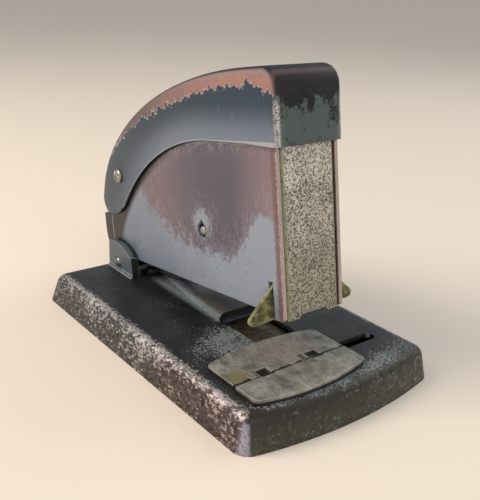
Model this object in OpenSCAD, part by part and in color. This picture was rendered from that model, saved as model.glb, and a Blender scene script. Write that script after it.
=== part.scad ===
// Desk stapler with a tall quadrant head, pressed from sheet steel.
//
// Frame: origin under the middle of the base, on the surface that it stands on.
// +X points from the hinge to the nose, +Z up. It is drawn at rest, with the head
// raised by its spring, the cap up, the shell shut and the anvil at its left stop.
// Pieces of the head are drawn in the head's frame: its origin is the hinge axis,
// its X runs toward the nose and its Z runs along the nose plate.

/* [Base] */
// Distance of the base's front tip ahead of the nose plate's face
base_ahead = 14.6; // [13:0.1:30]
// Width of the base
base_w = 56; // [50:0.5:72]
// Height of the base's top
base_h = 8; // [7.5:0.1:11]
// How far the front edge bows out
base_bow = 3.5; // [2:0.1:5]
// Thickness of the base's sheet
base_t = 1.2; // [0.8:0.1:1.4]
// Plan radius of the base's corners
base_corner_r = 4; // [3:0.1:8]
// Radius of the roll between the walls and the top
base_roll = 2.8; // [2:0.1:3.2]
// Lean of the walls at the foot of the roll
base_batter = 1.2; // [0.6:0.1:1.6]
// Further lean of the rear wall
base_rake = 1.6; // [0:0.1:2.4]

/* [Hinge] */
// Distance of the hinge axis from the base's rear edge
hinge_from_rear = 10.4; // [10:0.1:14]
// Height of the hinge axis over the base's top
hinge_over_top = 2.3; // [2.2:0.1:3]
// Diameter of the hinge pin
hinge_pin_d = 2.2; // [1.8:0.1:2.7]
// Gap between each ear and the shell's side
ear_gap = 1.3; // [1.1:0.1:2.5]
// Thickness of an ear
ear_t = 1.2; // [1:0.1:1.5]
// Length of an ear along the base
ear_len = 13; // [12:0.1:16]
// Height of an ear's top over the base's top
ear_h = 8; // [7:0.1:10]

/* [Head] */
// Angle that the nose is raised by at rest
rest_pitch = 9.5; // [9:0.1:11]
// Reach of the head from the hinge axis to the face of the nose plate
head_reach = 67.5; // [62:0.5:84]
// Clearance between the nose plate and each side of the shell
nose_clear = 0.2; // [0.15:0.05:0.4]
// Height of the cap's flat top over the hinge axis
head_h = 50; // [46:0.5:62]
// Thickness of the shell's sheet
shell_t = 0.8; // [0.6:0.05:1]
// Slope of the magazine below the head's X direction
mag_slope = 2.75; // [2:0.05:3]

/* [Cap] */
// Thickness of the cap's sheet
cap_t = 0.65; // [0.5:0.05:0.9]
// Clearance between the cap and each side of the shell
cap_clear = 0.2; // [0.15:0.05:0.4]
// Distance of the cap's pivot from the hinge axis, toward the nose
pivot_u = 2.2; // [1.5:0.1:3.5]
// Height of the cap's pivot over the hinge axis
pivot_w = 24.1; // [22.5:0.1:26]
// Diameter of the cap's pivot tube
pivot_d = 2.8; // [2.6:0.1:4]

/* [Magazine] */
// Width over the crown of a staple
staple_w = 12; // [10:0.1:14.4]
// Length of a staple's leg
staple_leg = 6; // [5:0.1:6.4]
// Thickness of staple wire
wire_t = 0.5; // [0.4:0.05:0.6]
// Length of the stick of staples
stick_len = 24; // [12:1:28]
// Thickness of the magazine's sheet
mag_t = 0.7; // [0.5:0.05:0.8]
// Thickness of the nose plate's sheet
nose_t = 0.65; // [0.5:0.05:0.8]
// Distance over the tips of the two finger wings
wings_w = 30; // [24:0.5:40]

/* [Anvil] */
// Margin of the anvil beyond the outer legs of its two dies
anvil_margin = 2.5; // [1:0.1:4]
// Length of the anvil along the base
anvil_len = 21.5; // [19:0.5:24]
// Thickness of the anvil's sheet
anvil_t = 1; // [0.8:0.1:1.2]
// Distance between the neighbouring legs of the two dies
die_gap = 2; // [1:0.1:4]

/* [Fits] */
// Radial clearance of a turning fit
turn_clear = 0.05; // [0.02:0.01:0.08]
// Clearance between sheets that slide on each other
sheet_clear = 0.15; // [0.1:0.05:0.25]

/* [Hidden] */
$fn = 48;
eps = 0.01;

// widths, from the staple outward
chan_in = staple_w / 2 + sheet_clear;
chan_out = chan_in + mag_t;
nose_half = chan_out + nose_t;
shell_in = nose_half + nose_clear;
shell_out = shell_in + shell_t;

// base
bottom_t = 0.8;
bottom_clear = 0.5;
window_len = 14.1;
window_half = 5.8;
louver_half = 6.3;
louver_h = 1.8;
spring_opening = [6.8, 10];

// hinge
base_len = hinge_from_rear + head_reach + base_ahead;
hinge_x = hinge_from_rear - base_len / 2;
hinge_z = base_h + hinge_over_top;
ear_y = shell_out + ear_gap + ear_t;
ear_x0 = hinge_x - 5.3;
ear_flange = ear_gap - 0.35;
ear_clear = 0.1;
bracket_plate_t = 1.2;
bracket_plate_z = base_h - base_t - bracket_plate_t;
bracket_plate_x0 = ear_x0 + 3;
hinge_lobe_r = hinge_over_top - 0.35;
hinge_dome_d = hinge_pin_d + 0.8;
rivet_x = hinge_x + 5.6;
rivet_y = 3.9;
rivet_d = 2;
rivet_head_h = 0.5;

// head
shell_front = head_reach + 0.1;
rear_u = -11;
rear_w = 12.6;
rear_r = 1.2;
nose_w0 = -2.7;
shell_low = 1.1;
shell_top = head_h - 12;
shell_front_r = 24;
shell_back_u = -4.6;
wing_u = head_reach - 3.5;
wing_t = 0.7;
wing_h = 8;
wing_clear = 0.4;

// cap
cap_in = shell_out + cap_clear;
cap_out = cap_in + cap_t;
cap_front = head_reach + 1.4;
cap_low_front = head_h - 15.7;
nose_top = cap_low_front - 0.25;
nose_corner_r = 1.2;
nose_return = 4;
nose_return_high = 1.8;
cap_rear_u = -9.2;
cap_front_r = 4.5;
cap_curve_w = 14;
cap_tail_r = 4.4;
cap_stroke = 8.3;
cap_edge_r = 1.5;
cap_cut_u = head_reach - 23;
cap_tail_u = pivot_u + 0.9;
cap_tail_w = pivot_w - 8.5;
screw_d = 2;
screw_head_d = pivot_d + 0.9;
nut_d = pivot_d + 1.4;
nut_h = 1.2;
seat = 0.02;

// magazine, in its own frame: origin at the nose plate's lower edge
chan_floor = 0.3;
chan_top = chan_floor + mag_t + 0.1 + staple_leg + wire_t + 0.6;
chan_rear = -head_reach - 2.2;
chan_open_rear = -head_reach + 6;
driver_t = wire_t;
driver_gap = 0.15;
driver_front = head_reach - nose_t - driver_gap;
driver_rear = driver_front - driver_t;
mag_front = driver_rear - driver_gap;
stick_z = chan_floor + mag_t + 0.1;
stick_front = -(head_reach - mag_front) - 0.45;
follower_len = 6;
follower_front = stick_front - stick_len - 0.1;
rod_z = stick_z + 3.1;
rod_d = 2;
rod_rear = chan_open_rear + 1;
rod_stop_t = 1;
driver_stroke = (head_reach - pivot_u - 1.6) * cap_stroke * PI / 180;
driver_low = nose_w0 + 0.3 + driver_stroke;
driver_top = cap_low_front + 6;
driver_bend = 3.4;
guide_plate_t = 0.8;
guide_arm = 7;
guide_foot = 4;
hanger_t = 1;
hanger_half = 4.6;
hanger_len = 5.5;
hanger_lip = 5;

// cap return spring
pin_u = head_reach - 27.9;
pin_w = 13.6;
pin_d = 2.1;
peep_d = pin_d + 1.5;
bracket_out = shell_in - 0.05;
bracket_t = 0.8;
bracket_back = 7;
bracket_len = 15;
bracket_over_pin = 5;
bracket_low = nose_w0 + chan_top + (head_reach - pin_u + bracket_back) * tan(mag_slope) + 0.6;
coil_wire = 1;
coil_lead = 1.15;
coil_turns = 4;

// lift spring
leaf_t = 0.4;
leaf_half = 2.6;
leaf_x0 = rivet_x + 1.6;
leaf_len = 27;
leaf_reach = leaf_x0 + leaf_len - hinge_x;
leaf_rise = hinge_over_top + leaf_reach * tan(rest_pitch) - leaf_t - 0.05
  + (nose_w0 + chan_floor + (head_reach - leaf_reach) * tan(mag_slope)) / cos(rest_pitch);

// anvil
anvil_w = 2 * (staple_w + die_gap / 2 + anvil_margin);
die_offset = (staple_w + die_gap) / 2;
slot_x0 = hinge_x + head_reach - 2.1;
slot_w = 3.1;
lip_half = anvil_w / 2 - 3.5;
lip_clear = 0.35;
slot_half = die_offset + lip_half + 1;
anvil_x0 = slot_x0 - 9.1;
anvil_split = slot_x0 + slot_w + 0.2;
anvil_lift = 0.1;
anvil_gap = 0.7;
anvil_bow = 2.3;
anvil_groove = 0.45;
anvil_step = 0.35;
anvil_corner_r = 0.9;
pocket_half = 1.8;
keeper_t = 0.8;
keeper_z = base_h - base_t - 1.9;
keeper_margin = 2.6;
keeper_rivet_d = 1.6;
keeper_rivet_y = lip_half - 4;
guide_t = 1;
guide_half = 5.2;
guide_rear = 14;
guide_wing = 9;
window_x0 = slot_x0 - 24.2;
louver_x0 = hinge_x + 9;

// ---------- shared shapes ----------

function arc(c, r, a0, a1, n) =
  [for (i = [0:n]) let (a = a0 + (a1 - a0) * i / n) c + r * [cos(a), sin(a)]];

function ellipse_arc(c, rx, rz, a0, a1, n) =
  [for (i = [0:n]) let (a = a0 + (a1 - a0) * i / n) c + [rx * cos(a), rz * sin(a)]];

// Extrudes an outline drawn in X and Z between two Y planes.
module between_y(y0, y1) {
  translate([0, y1, 0]) rotate([90, 0, 0]) linear_extrude(y1 - y0) children();
}

// A solid on each side of the middle plane.
module both_sides() {
  children();
  mirror([0, 1, 0]) children();
}

// A cylinder along Y between two Y planes.
module rod_y(d, y0, y1) {
  translate([0, y1, 0]) rotate([90, 0, 0]) cylinder(d = d, h = y1 - y0);
}

module at_hinge() {
  translate([hinge_x, 0, hinge_z]) children();
}

module on_head() {
  at_hinge() rotate([0, -rest_pitch, 0]) children();
}

module on_magazine() {
  on_head() translate([head_reach, 0, nose_w0]) rotate([0, mag_slope, 0]) children();
}

// ---------- base ----------

// Plan of the base, moved in by inset and with its rear edge raked forward.
function base_plan(inset, rake) =
  let (
    r = max(base_corner_r - inset, 0.8),
    half = base_w / 2 - inset - r,
    full_r = (base_w * base_w / 4 + base_bow * base_bow) / (2 * base_bow),
    bow_x = base_len / 2 - full_r,
    bow_r = full_r - inset,
    front_x = bow_x + sqrt((bow_r - r) * (bow_r - r) - half * half),
    rear_x = -base_len / 2 + inset + r + rake,
    bow_a = asin(half / (bow_r - r))
  )
  concat(
    arc([rear_x, -half], r, 180, 270, 8),
    arc([front_x, -half], r, 270, 360 - bow_a, 8),
    arc([bow_x, 0], bow_r, -bow_a, bow_a, 14),
    arc([front_x, half], r, bow_a, 90, 8),
    arc([rear_x, half], r, 90, 180, 8)
  );

// Outer form of the base: sloped walls that roll over into the flat top.
module base_form(wall, low, top) {
  roll = base_roll - wall;
  hull() {
    translate([0, 0, low]) linear_extrude(eps) polygon(base_plan(wall, 0));
    for (i = [0:5]) {
      a = 90 * i / 5;
      inset = base_batter + wall + roll * (1 - cos(a));
      z = top - roll + roll * sin(a);
      translate([0, 0, z - eps]) linear_extrude(eps)
        polygon(base_plan(inset, base_rake * (z - low) / (top - low)));
    }
  }
}

// Ridge pressed up along the middle, rising from the hinge to its sheared front edge.
module louver(shrink) {
  len = window_x0 - louver_x0;
  hull() {
    translate([louver_x0, -2.5, base_h - 1]) cube([2, 5, 1 - shrink + 0.05]);
    for (k = [0:4]) {
      a = 18 + 72 * k / 4;
      half = louver_half - 1.8 * (1 - cos(a)) - shrink;
      z = louver_h * sin(a) - shrink;
      translate([louver_x0 + len * 0.75, -half * 0.92, base_h - 1])
        cube([len * 0.25, half * 1.84, 1 + z * 0.94]);
      translate([window_x0 - 1, -half, base_h - 1]) cube([1, 2 * half, 1 + z]);
    }
  }
}

module rounded_slot(x0, x1, half) {
  r = (x1 - x0) / 2;
  translate([x0, -half + r, 0]) square([x1 - x0, 2 * half - 2 * r]);
  for (s = [-1, 1]) translate([x0 + r, s * (half - r)]) circle(r);
}

module base_shell() {
  color("#2b2c2e")
  difference() {
    union() {
      base_form(0, 0, base_h);
      louver(0);
    }
    base_form(base_t, -0.1, base_h - base_t);
    difference() {
      translate([eps, 0, 0]) louver(base_t * 0.8);
      translate([0, 0, -50 + base_h - base_t]) cube([200, 200, 100], center = true);
    }
    // window in front of the ridge
    translate([window_x0, -window_half, 0]) cube([window_len, 2 * window_half, 20]);
    // slot that the anvil slides in
    linear_extrude(20) rounded_slot(slot_x0, slot_x0 + slot_w, slot_half);
    // openings for the ears and for the spring between them
    both_sides() translate([ear_x0 - ear_clear, ear_y - ear_t - ear_clear, 1])
      cube([ear_len + 2 * ear_clear, ear_t + 2 * ear_clear, 20]);
    both_sides()
      translate([ear_x0 + ear_len - ear_t - ear_clear, ear_y - ear_t - ear_flange - ear_clear, 1])
      cube([ear_t + 2 * ear_clear, ear_flange + 2 * ear_clear, 20]);
    translate([hinge_x - spring_opening[0] / 2, -spring_opening[1] / 2, 1])
      cube([spring_opening[0], spring_opening[1], 20]);
    both_sides() translate([rivet_x, rivet_y, 1]) cylinder(d = rivet_d, h = 20);
  }
}

// Plate that closes the underside, held by the rim.
module bottom_plate() {
  color("#3a3a3a")
  linear_extrude(bottom_t) polygon(base_plan(base_t + bottom_clear, 0));
}

// ---------- hinge ----------

function ear_outline() =
  let (x1 = ear_x0 + ear_len, top = base_h + ear_h)
  concat(
    [[ear_x0, bracket_plate_z], [ear_x0, top - 1.2]],
    arc([ear_x0 + 4.2, top - 12], 12, 108, 58, 8),
    [[x1 - 1, top - 2.6], [x1, base_h], [x1, bracket_plate_z]]
  );

// Bridge under the base's top with two ears that stand up through it.
module hinge_bracket() {
  color("#6f777c")
  difference() {
    union() {
      both_sides() between_y(ear_y - ear_t, ear_y) polygon(ear_outline());
      // stiffening flanges, turned in along the front edge of each ear
      both_sides() translate([0, -ear_flange + eps, 0])
        between_y(ear_y - ear_t, ear_y - ear_t + ear_flange)
          intersection() {
            polygon(ear_outline());
            translate([ear_x0 + ear_len - ear_t, bracket_plate_z]) square([ear_t, ear_h + 3]);
          }
      translate([bracket_plate_x0, -ear_y, bracket_plate_z])
        cube([ear_x0 + ear_len - bracket_plate_x0, 2 * ear_y, bracket_plate_t]);
    }
    at_hinge() rod_y(hinge_pin_d, -ear_y - 1, ear_y + 1);
    both_sides() translate([rivet_x, rivet_y, 0]) cylinder(d = rivet_d, h = 20);
  }
}

// Rivets that hold the lift spring, the base and the bracket together.
module bracket_rivets() {
  grip = base_h + leaf_t - bracket_plate_z;
  color("#55585a")
  both_sides() translate([rivet_x, rivet_y, bracket_plate_z]) {
    translate([0, 0, -rivet_head_h]) cylinder(d = rivet_d + 1.4, h = rivet_head_h);
    translate([0, 0, -rivet_head_h]) cylinder(d = rivet_d, h = grip + rivet_head_h);
    translate([0, 0, grip]) cylinder(d = rivet_d + 1, h = rivet_head_h);
  }
}

// Dome for the end of a pin, standing out along +Z.
module dome(d, h) {
  r = (d * d / 4 + h * h) / (2 * h);
  intersection() {
    translate([0, 0, h - r]) sphere(r);
    cylinder(d = d + 1, h = h + 1);
  }
}

module hinge_pin() {
  color("#8c8c88")
  at_hinge() {
    rod_y(hinge_pin_d, -ear_y, ear_y);
    both_sides() translate([0, ear_y, 0]) rotate([-90, 0, 0]) dome(hinge_dome_d, 0.9);
  }
}

// Shaped washers that fill the gap between the ears and the shell.
module hinge_spacers() {
  y0 = shell_out + sheet_clear;
  y1 = ear_y - ear_t - seat;
  color("#565a58")
  both_sides() difference() {
    between_y(y0, y1) {
      intersection() {
        translate([ear_x0 + 4.6, hinge_z - 6.2]) circle(12);
        translate([ear_x0 + 0.4, base_h + 0.05])
          square([ear_len - ear_t - 0.6, ear_h + 2]);
      }
    }
    at_hinge() rod_y(hinge_pin_d + seat, -ear_y, ear_y);
  }
}

// Points along the leaf from one step to another, raised by lift.
function leaf_curve(first, last, steps, lift) =
  [for (i = [first:(last > first ? 1 : -1):last]) let (share = i / steps)
    [leaf_x0 + leaf_len * share, base_h + lift + leaf_rise * pow(share, 1.35)]];

// Leaf spring under the magazine that lifts the head.
module head_lift_spring() {
  steps = 12;
  color("#7d7f80")
  difference() {
    union() {
      between_y(-leaf_half, leaf_half)
        polygon(concat(leaf_curve(0, steps, steps, 0), leaf_curve(steps, 0, steps, leaf_t)));
      translate([rivet_x - 1.8, -rivet_y - 1.8, base_h]) cube([3.5, 2 * rivet_y + 3.6, leaf_t]);
    }
    both_sides() translate([rivet_x, rivet_y, 0]) cylinder(d = rivet_d, h = 20);
  }
}

// ---------- anvil ----------

// T-shaped strip, welded under the base's top, that the anvil's keeper slides along.
module anvil_guide() {
  x0 = window_x0 - guide_rear;
  color("#6d6c58")
  translate([0, 0, base_h - base_t - guide_t]) linear_extrude(guide_t) union() {
    translate([x0, -guide_half]) square([slot_x0 - 0.4 - x0, 2 * guide_half]);
    translate([x0, -guide_wing]) square([4, 2 * guide_wing]);
  }
}

// Outline of the rear plate (side -1) or of the front plate (side 1), each with a bowed edge.
function anvil_outline(side) =
  let (
    h = anvil_w / 2,
    split = anvil_split + side * anvil_gap / 2,
    edge = side < 0 ? anvil_x0 : anvil_x0 + anvil_len,
    end = h - anvil_corner_r
  )
  concat(
    [[split, side * (h - 0.3)], [split, -side * h]],
    [[edge - side * (anvil_bow + 0.7), -side * h]],
    [for (i = [-6:6]) let (y = side * end * i / 6) [edge - side * anvil_bow * y * y / (h * h), y]],
    [[edge - side * (anvil_bow + 0.7), side * (h - 0.3)]]
  );

// Two dies side by side, bent down into the slot, on one sliding plate.
module anvil() {
  y0 = -die_offset;
  z0 = base_h + anvil_lift;
  color("#6f7062")
  translate([0, y0, z0]) difference() {
    union() {
      linear_extrude(anvil_t) polygon(anvil_outline(-1));
      linear_extrude(anvil_t + anvil_step) polygon(anvil_outline(1));
      // strip in the groove that joins both plates
      translate([slot_x0, -lip_half, 0])
        cube([anvil_split + 1 - slot_x0, 2 * lip_half, anvil_groove]);
      // lip bent down through the slot to the keeper
      translate([slot_x0 + lip_clear, -lip_half, keeper_z + keeper_t - z0])
        cube([slot_w - 2 * lip_clear, 2 * lip_half, z0 - keeper_z - keeper_t + anvil_groove]);
    }
    // pockets in the middle of each die, where the tips of the staple's legs turn up
    for (s = [-1, 1]) translate([slot_x0 + 0.5, s * die_offset - pocket_half, anvil_groove])
      cube([slot_w + 0.3, 2 * pocket_half, 3]);
  }
}

// Plate under the base's top that holds the anvil down.
module anvil_keeper() {
  color("#6d6c58")
  translate([slot_x0, -die_offset, keeper_z]) difference() {
    translate([-keeper_margin, -lip_half, 0])
      cube([slot_w + 2 * keeper_margin, 2 * lip_half, keeper_t]);
    for (s = [-1, 1]) translate([slot_w / 2, s * keeper_rivet_y, -1])
      cylinder(d = keeper_rivet_d, h = 3);
  }
}

module keeper_rivets() {
  color("#55585a")
  for (s = [-1, 1])
    translate([slot_x0 + slot_w / 2, s * keeper_rivet_y - die_offset, keeper_z - 0.4]) {
      cylinder(d = keeper_rivet_d, h = keeper_t + 0.4);
      cylinder(d = keeper_rivet_d + 1, h = 0.4);
    }
}

// ---------- magazine ----------

// Side outline of a strip of the magazine between two heights, in the head's frame.
module magazine_strip(rear, low, high) {
  translate([head_reach, nose_w0]) rotate(-mag_slope)
    translate([rear, low]) square([mag_front - head_reach - rear + 4, high - low]);
}

// U-shaped channel that holds the staples and turns on the hinge pin.
module magazine_channel() {
  color("#8a8a82")
  on_head() {
    both_sides() between_y(chan_in, chan_out) difference() {
      union() {
        intersection() {
          magazine_strip(chan_rear, chan_floor, chan_top);
          translate([-hinge_lobe_r, -30]) square([mag_front + hinge_lobe_r, 60]);
        }
        circle(hinge_lobe_r);
        translate([-hinge_lobe_r, 0]) square([2 * hinge_lobe_r, 2.5]);
      }
      circle(d = hinge_pin_d + 2 * turn_clear);
    }
    // floor, cut away over the hinge pin
    between_y(-chan_in - mag_t / 2, chan_in + mag_t / 2) intersection() {
      magazine_strip(chan_open_rear, chan_floor, chan_floor + mag_t);
      translate([0, -30]) square([mag_front, 60]);
    }
  }
}

// Plated plate over the nose, bent back along both sides of the channel.
module nose_plate() {
  half = nose_half;
  r = nose_t + 0.25;
  color("#a8a690")
  on_head() difference() {
    intersection() {
      translate([0, 0, nose_w0]) linear_extrude(nose_top - nose_w0) difference() {
        union() {
          translate([head_reach - nose_return, -half]) square([nose_return - r, 2 * half]);
          translate([head_reach - r - eps, -half + r]) square([r + eps, 2 * half - 2 * r]);
          for (s = [-1, 1]) translate([head_reach - r, s * (half - r)]) circle(r);
        }
        translate([head_reach - 5, -chan_out]) square([5 - nose_t, 2 * chan_out]);
      }
      // the returns are deep beside the magazine and shallow above it
      between_y(-half, half) union() {
        translate([head_reach - nose_return, nose_w0]) square([nose_return + 1, wing_h + 0.6]);
        translate([head_reach - nose_return_high, nose_w0])
          square([nose_return_high + 1, nose_top - nose_w0]);
      }
    }
    // shallow notch between the two feet
    translate([head_reach - 2, 0, 0]) rotate([90, 0, 90]) linear_extrude(4)
      polygon([[-4.2, nose_w0 - 1], [-4.2, nose_w0], [-3.4, nose_w0 + 0.8],
               [3.4, nose_w0 + 0.8], [4.2, nose_w0], [4.2, nose_w0 - 1]]);
    // rounded top corners
    both_sides() translate([head_reach - 5, half - nose_corner_r, nose_top - nose_corner_r])
      rotate([90, 0, 90])
      linear_extrude(8) difference() {
        square(3);
        circle(nose_corner_r);
      }
  }
}

// Wings at the foot of the nose that the fingers hold the magazine by.
module finger_wings() {
  half = nose_half;
  tip = wings_w / 2;
  top = nose_w0 + wing_h;
  color("#6e6a3a")
  both_sides() on_head() translate([wing_u - wing_t, 0, 0]) rotate([90, 0, 90]) linear_extrude(wing_t)
    polygon(concat(
      [[half, top], [half, nose_w0 + 0.2], [tip - 2, nose_w0 - 0.2]],
      arc([tip - 1.1, nose_w0 + 1.0], 1.1, -70, 40, 6)
    ));
}

module staple_stick() {
  h = staple_leg + wire_t;
  color("#b9bcc0")
  on_magazine() difference() {
    translate([stick_front - stick_len, -staple_w / 2, stick_z]) cube([stick_len, staple_w, h]);
    translate([stick_front - stick_len - 1, -staple_w / 2 + wire_t, stick_z - 1])
      cube([stick_len + 2, staple_w - 2 * wire_t, h + 1 - wire_t]);
  }
}

// Block that pushes the staples forward, sliding on the rod.
module follower() {
  color("#7d8285")
  on_magazine() difference() {
    translate([follower_front - follower_len, -chan_in + sheet_clear, stick_z])
      cube([follower_len, 2 * (chan_in - sheet_clear), staple_leg + wire_t]);
    translate([follower_front, 0, rod_z]) rotate([0, -90, 0])
      translate([0, 0, -1]) cylinder(d = rod_d + 2 * turn_clear, h = follower_len + 2);
  }
}

module follower_rod() {
  color("#9a9c9e")
  on_magazine() {
    translate([rod_rear, 0, rod_z]) rotate([0, 90, 0])
      cylinder(d = rod_d, h = stick_front - rod_rear - 4);
    // rear stop, standing on the channel's floor between its sides
    translate([rod_rear, -chan_in, chan_floor + mag_t])
      cube([rod_stop_t, 2 * chan_in, chan_top - chan_floor - mag_t]);
  }
}

// Points around a coil that runs along Z, and the skin over them.
function coil_path(r, pitch, turns, per_turn) =
  [for (i = [0:turns * per_turn]) let (a = 360 * i / per_turn)
    [r * cos(a), r * sin(a), pitch * i / per_turn]];

module swept(path, wire_r, sides) {
  n = len(path);
  rings = [for (i = [0:n - 1]) let (
      p = path[i],
      t0 = path[min(i + 1, n - 1)] - path[max(i - 1, 0)],
      t = t0 / norm(t0),
      a0 = cross(t, [0, 0, 1]),
      u = norm(a0) > 0.01 ? a0 / norm(a0) : [1, 0, 0],
      v = cross(t, u)
    ) [for (k = [0:sides - 1]) let (a = 360 * k / sides) p + wire_r * (cos(a) * u + sin(a) * v)]];
  polyhedron(
    points = [for (ring = rings) each ring],
    faces = concat(
      [[for (k = [sides - 1:-1:0]) k]],
      [for (i = [0:n - 2]) for (k = [0:sides - 1]) let (k2 = (k + 1) % sides, a = i * sides, b = a + sides)
        each [[a + k, a + k2, b + k2], [a + k, b + k2, b + k]]],
      [[for (k = [0:sides - 1]) (n - 1) * sides + k]]
    )
  );
}

module follower_spring() {
  x0 = rod_rear + rod_stop_t + 0.1;
  x1 = follower_front - follower_len - 0.15;
  turns = 12;
  wire = 0.4;
  color("#a9acae")
  on_magazine() translate([x0 + wire / 2, 0, rod_z]) rotate([0, 90, 0])
    swept(coil_path(rod_d / 2 + 0.55, (x1 - x0 - wire) / turns, turns, 14), wire / 2, 6);
}

// ---------- shell of the head ----------

// Lower edge of the shell at a distance u from the hinge.
function shell_edge(u) = nose_w0 + shell_low / cos(mag_slope) + (head_reach - u) * tan(mag_slope);

// Side outline of the shell: lower edge, front, the top hidden by the cap, and the rear.
function shell_outline() =
  let (
    slot_u0 = wing_u - wing_t - wing_clear,
    slot_u1 = wing_u + wing_clear,
    slot_w1 = nose_w0 + wing_h + wing_clear,
    arc_u = head_reach - shell_front_r
  )
  concat(
    [[5.6, shell_edge(5.6)], [slot_u0, shell_edge(wing_u)], [slot_u0, slot_w1], [slot_u1, slot_w1]],
    [[slot_u1, nose_w0 + 0.1], [shell_front - 0.6, nose_w0 + 0.1], [shell_front, nose_w0 + 0.7]],
    [[shell_front, shell_top]],
    ellipse_arc([arc_u, cap_curve_w], arc_u - shell_back_u, shell_top - cap_curve_w, 90, 176, 14),
    [[shell_back_u, rear_w]],
    arc([rear_u + 1, rear_w - 1], 1, 90, 180, 4),
    arc([rear_u + 3.6, 6], 2.4, 185, 235, 4),
    [[-2.4, 2.2]]
  );

module shell_bore(d, u, w) {
  translate([u, 0, w]) rod_y(d, -20, 20);
}

// Plan of the shell, moved in by inset: straight sides with a rounded rear.
module shell_plan(inset) {
  r = rear_r - inset;
  half = shell_out - rear_r;
  translate([rear_u + rear_r, -shell_out + inset])
    square([2 * shell_front, 2 * (shell_out - inset)]);
  translate([rear_u + inset, -half]) square([rear_r + 1, 2 * half]);
  for (s = [-1, 1]) translate([rear_u + rear_r, s * half]) circle(r);
}

// Pressed steel cover: two sides joined round the rear, open at the nose.
module head_shell() {
  color("#8d9098")
  on_head() difference() {
    union() {
      intersection() {
        between_y(-shell_out, shell_out) polygon(shell_outline());
        translate([0, 0, -20]) linear_extrude(100) shell_plan(0);
        difference() {
          translate([-50, -50, -50]) cube([200, 100, 200]);
          // inside, under the rear's closed top and in front of it
          translate([0, 0, -20]) linear_extrude(20 + rear_w - shell_t) shell_plan(shell_t);
          translate([shell_back_u + shell_t, -shell_in, rear_w - shell_t - 1])
            cube([150, 2 * shell_in, 100]);
        }
      }
      // lobes that reach down to the hinge pin
      both_sides() between_y(shell_in, shell_out) {
        circle(hinge_lobe_r);
        polygon([[-hinge_lobe_r, 0], [hinge_lobe_r, 0], [6.5, 3], [-2.6, 3]]);
      }
    }
    rod_y(hinge_pin_d + 2 * turn_clear, -20, 20);
    shell_bore(pivot_d, pivot_u, pivot_w);
    // peep hole round the spring pin, pointed at the top
    between_y(-20, 20) translate([pin_u - 0.4, pin_w + 0.1]) {
      circle(d = peep_d);
      rotate(45) square(peep_d / 2 * [1, 1]);
    }
  }
}

// U-shaped bracket inside the shell that carries the spring pin.
module spring_bracket() {
  color("#77797b")
  on_head() difference() {
    between_y(-bracket_out, bracket_out) translate([pin_u - bracket_back, bracket_low])
      square([bracket_len, pin_w + bracket_over_pin - bracket_low]);
    translate([pin_u - bracket_back - 1, -bracket_out + bracket_t, bracket_low + bracket_t])
      cube([bracket_len + 2, 2 * (bracket_out - bracket_t), 20]);
    shell_bore(pin_d, pin_u, pin_w);
  }
}

module spring_pin() {
  color("#b7ae8c")
  on_head() translate([pin_u, 0, pin_w]) {
    rod_y(pin_d, -shell_out, shell_out);
    both_sides() translate([0, shell_out, 0]) rotate([-90, 0, 0]) dome(pin_d, 0.35);
  }
}

// Plate across the shell that keeps the driver upright, with two arms welded to the shell.
module driver_guide() {
  half = chan_out - 0.2;
  low = driver_low + 0.6;
  high = driver_top - driver_stroke - 3.4;
  color("#77797b")
  on_head() {
    translate([mag_front - guide_plate_t, -half, low]) cube([guide_plate_t, 2 * half, high - low]);
    both_sides() translate([mag_front - guide_arm, half - guide_plate_t, low])
      cube([guide_arm, guide_plate_t, high - low]);
    both_sides() translate([mag_front - guide_arm, half - guide_plate_t, low])
      cube([guide_foot, bracket_out - half + guide_plate_t, high - low]);
  }
}

// ---------- cap ----------

module pivot_tube() {
  color("#9a9c9e")
  on_head() translate([pivot_u, 0, pivot_w]) difference() {
    rod_y(pivot_d, -cap_out - seat, cap_out + seat);
    rod_y(screw_d, -20, 20);
  }
}

module cap_screw() {
  y1 = cap_out + seat;
  rim_h = 0.4;
  dome_h = 0.7;
  color("#b7ae8c")
  on_head() translate([pivot_u, 0, pivot_w]) difference() {
    union() {
      rod_y(screw_d, -y1, y1 + nut_h);
      mirror([0, 1, 0]) translate([0, y1, 0]) rotate([-90, 0, 0]) {
        cylinder(d = screw_head_d, h = rim_h);
        translate([0, 0, rim_h]) dome(screw_head_d, dome_h);
      }
    }
    // driver slot, cut into the dome only
    translate([0, -y1 - rim_h - dome_h - 0.2, 0]) rotate([0, 65, 0])
      cube([2 * screw_head_d, 2 * dome_h, 0.6], center = true);
  }
}

module cap_nut() {
  color("#8c8c88")
  on_head() translate([pivot_u, cap_out + seat, pivot_w]) rotate([-90, 0, 0]) difference() {
    cylinder(d = nut_d, h = nut_h, $fn = 6);
    translate([0, 0, -1]) cylinder(d = screw_d, h = nut_h + 2);
  }
}

// Side outline of the cap's top: front, flat top, and a long curve down to the tail.
function cap_top_outline(inset) =
  let (
    front = cap_front - inset,
    top = head_h - inset,
    rear = cap_rear_u + inset,
    flat_u = head_reach - 9,
    r = cap_front_r - inset
  )
  concat(
    [[front, -2]],
    arc([front - r, top - r], r, 0, 90, 6),
    ellipse_arc([flat_u, cap_curve_w], flat_u - rear, top - cap_curve_w, 90, 176, 26),
    arc([rear + cap_tail_r, cap_curve_w + 3], cap_tail_r, 176, 250, 6)
  );

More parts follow.
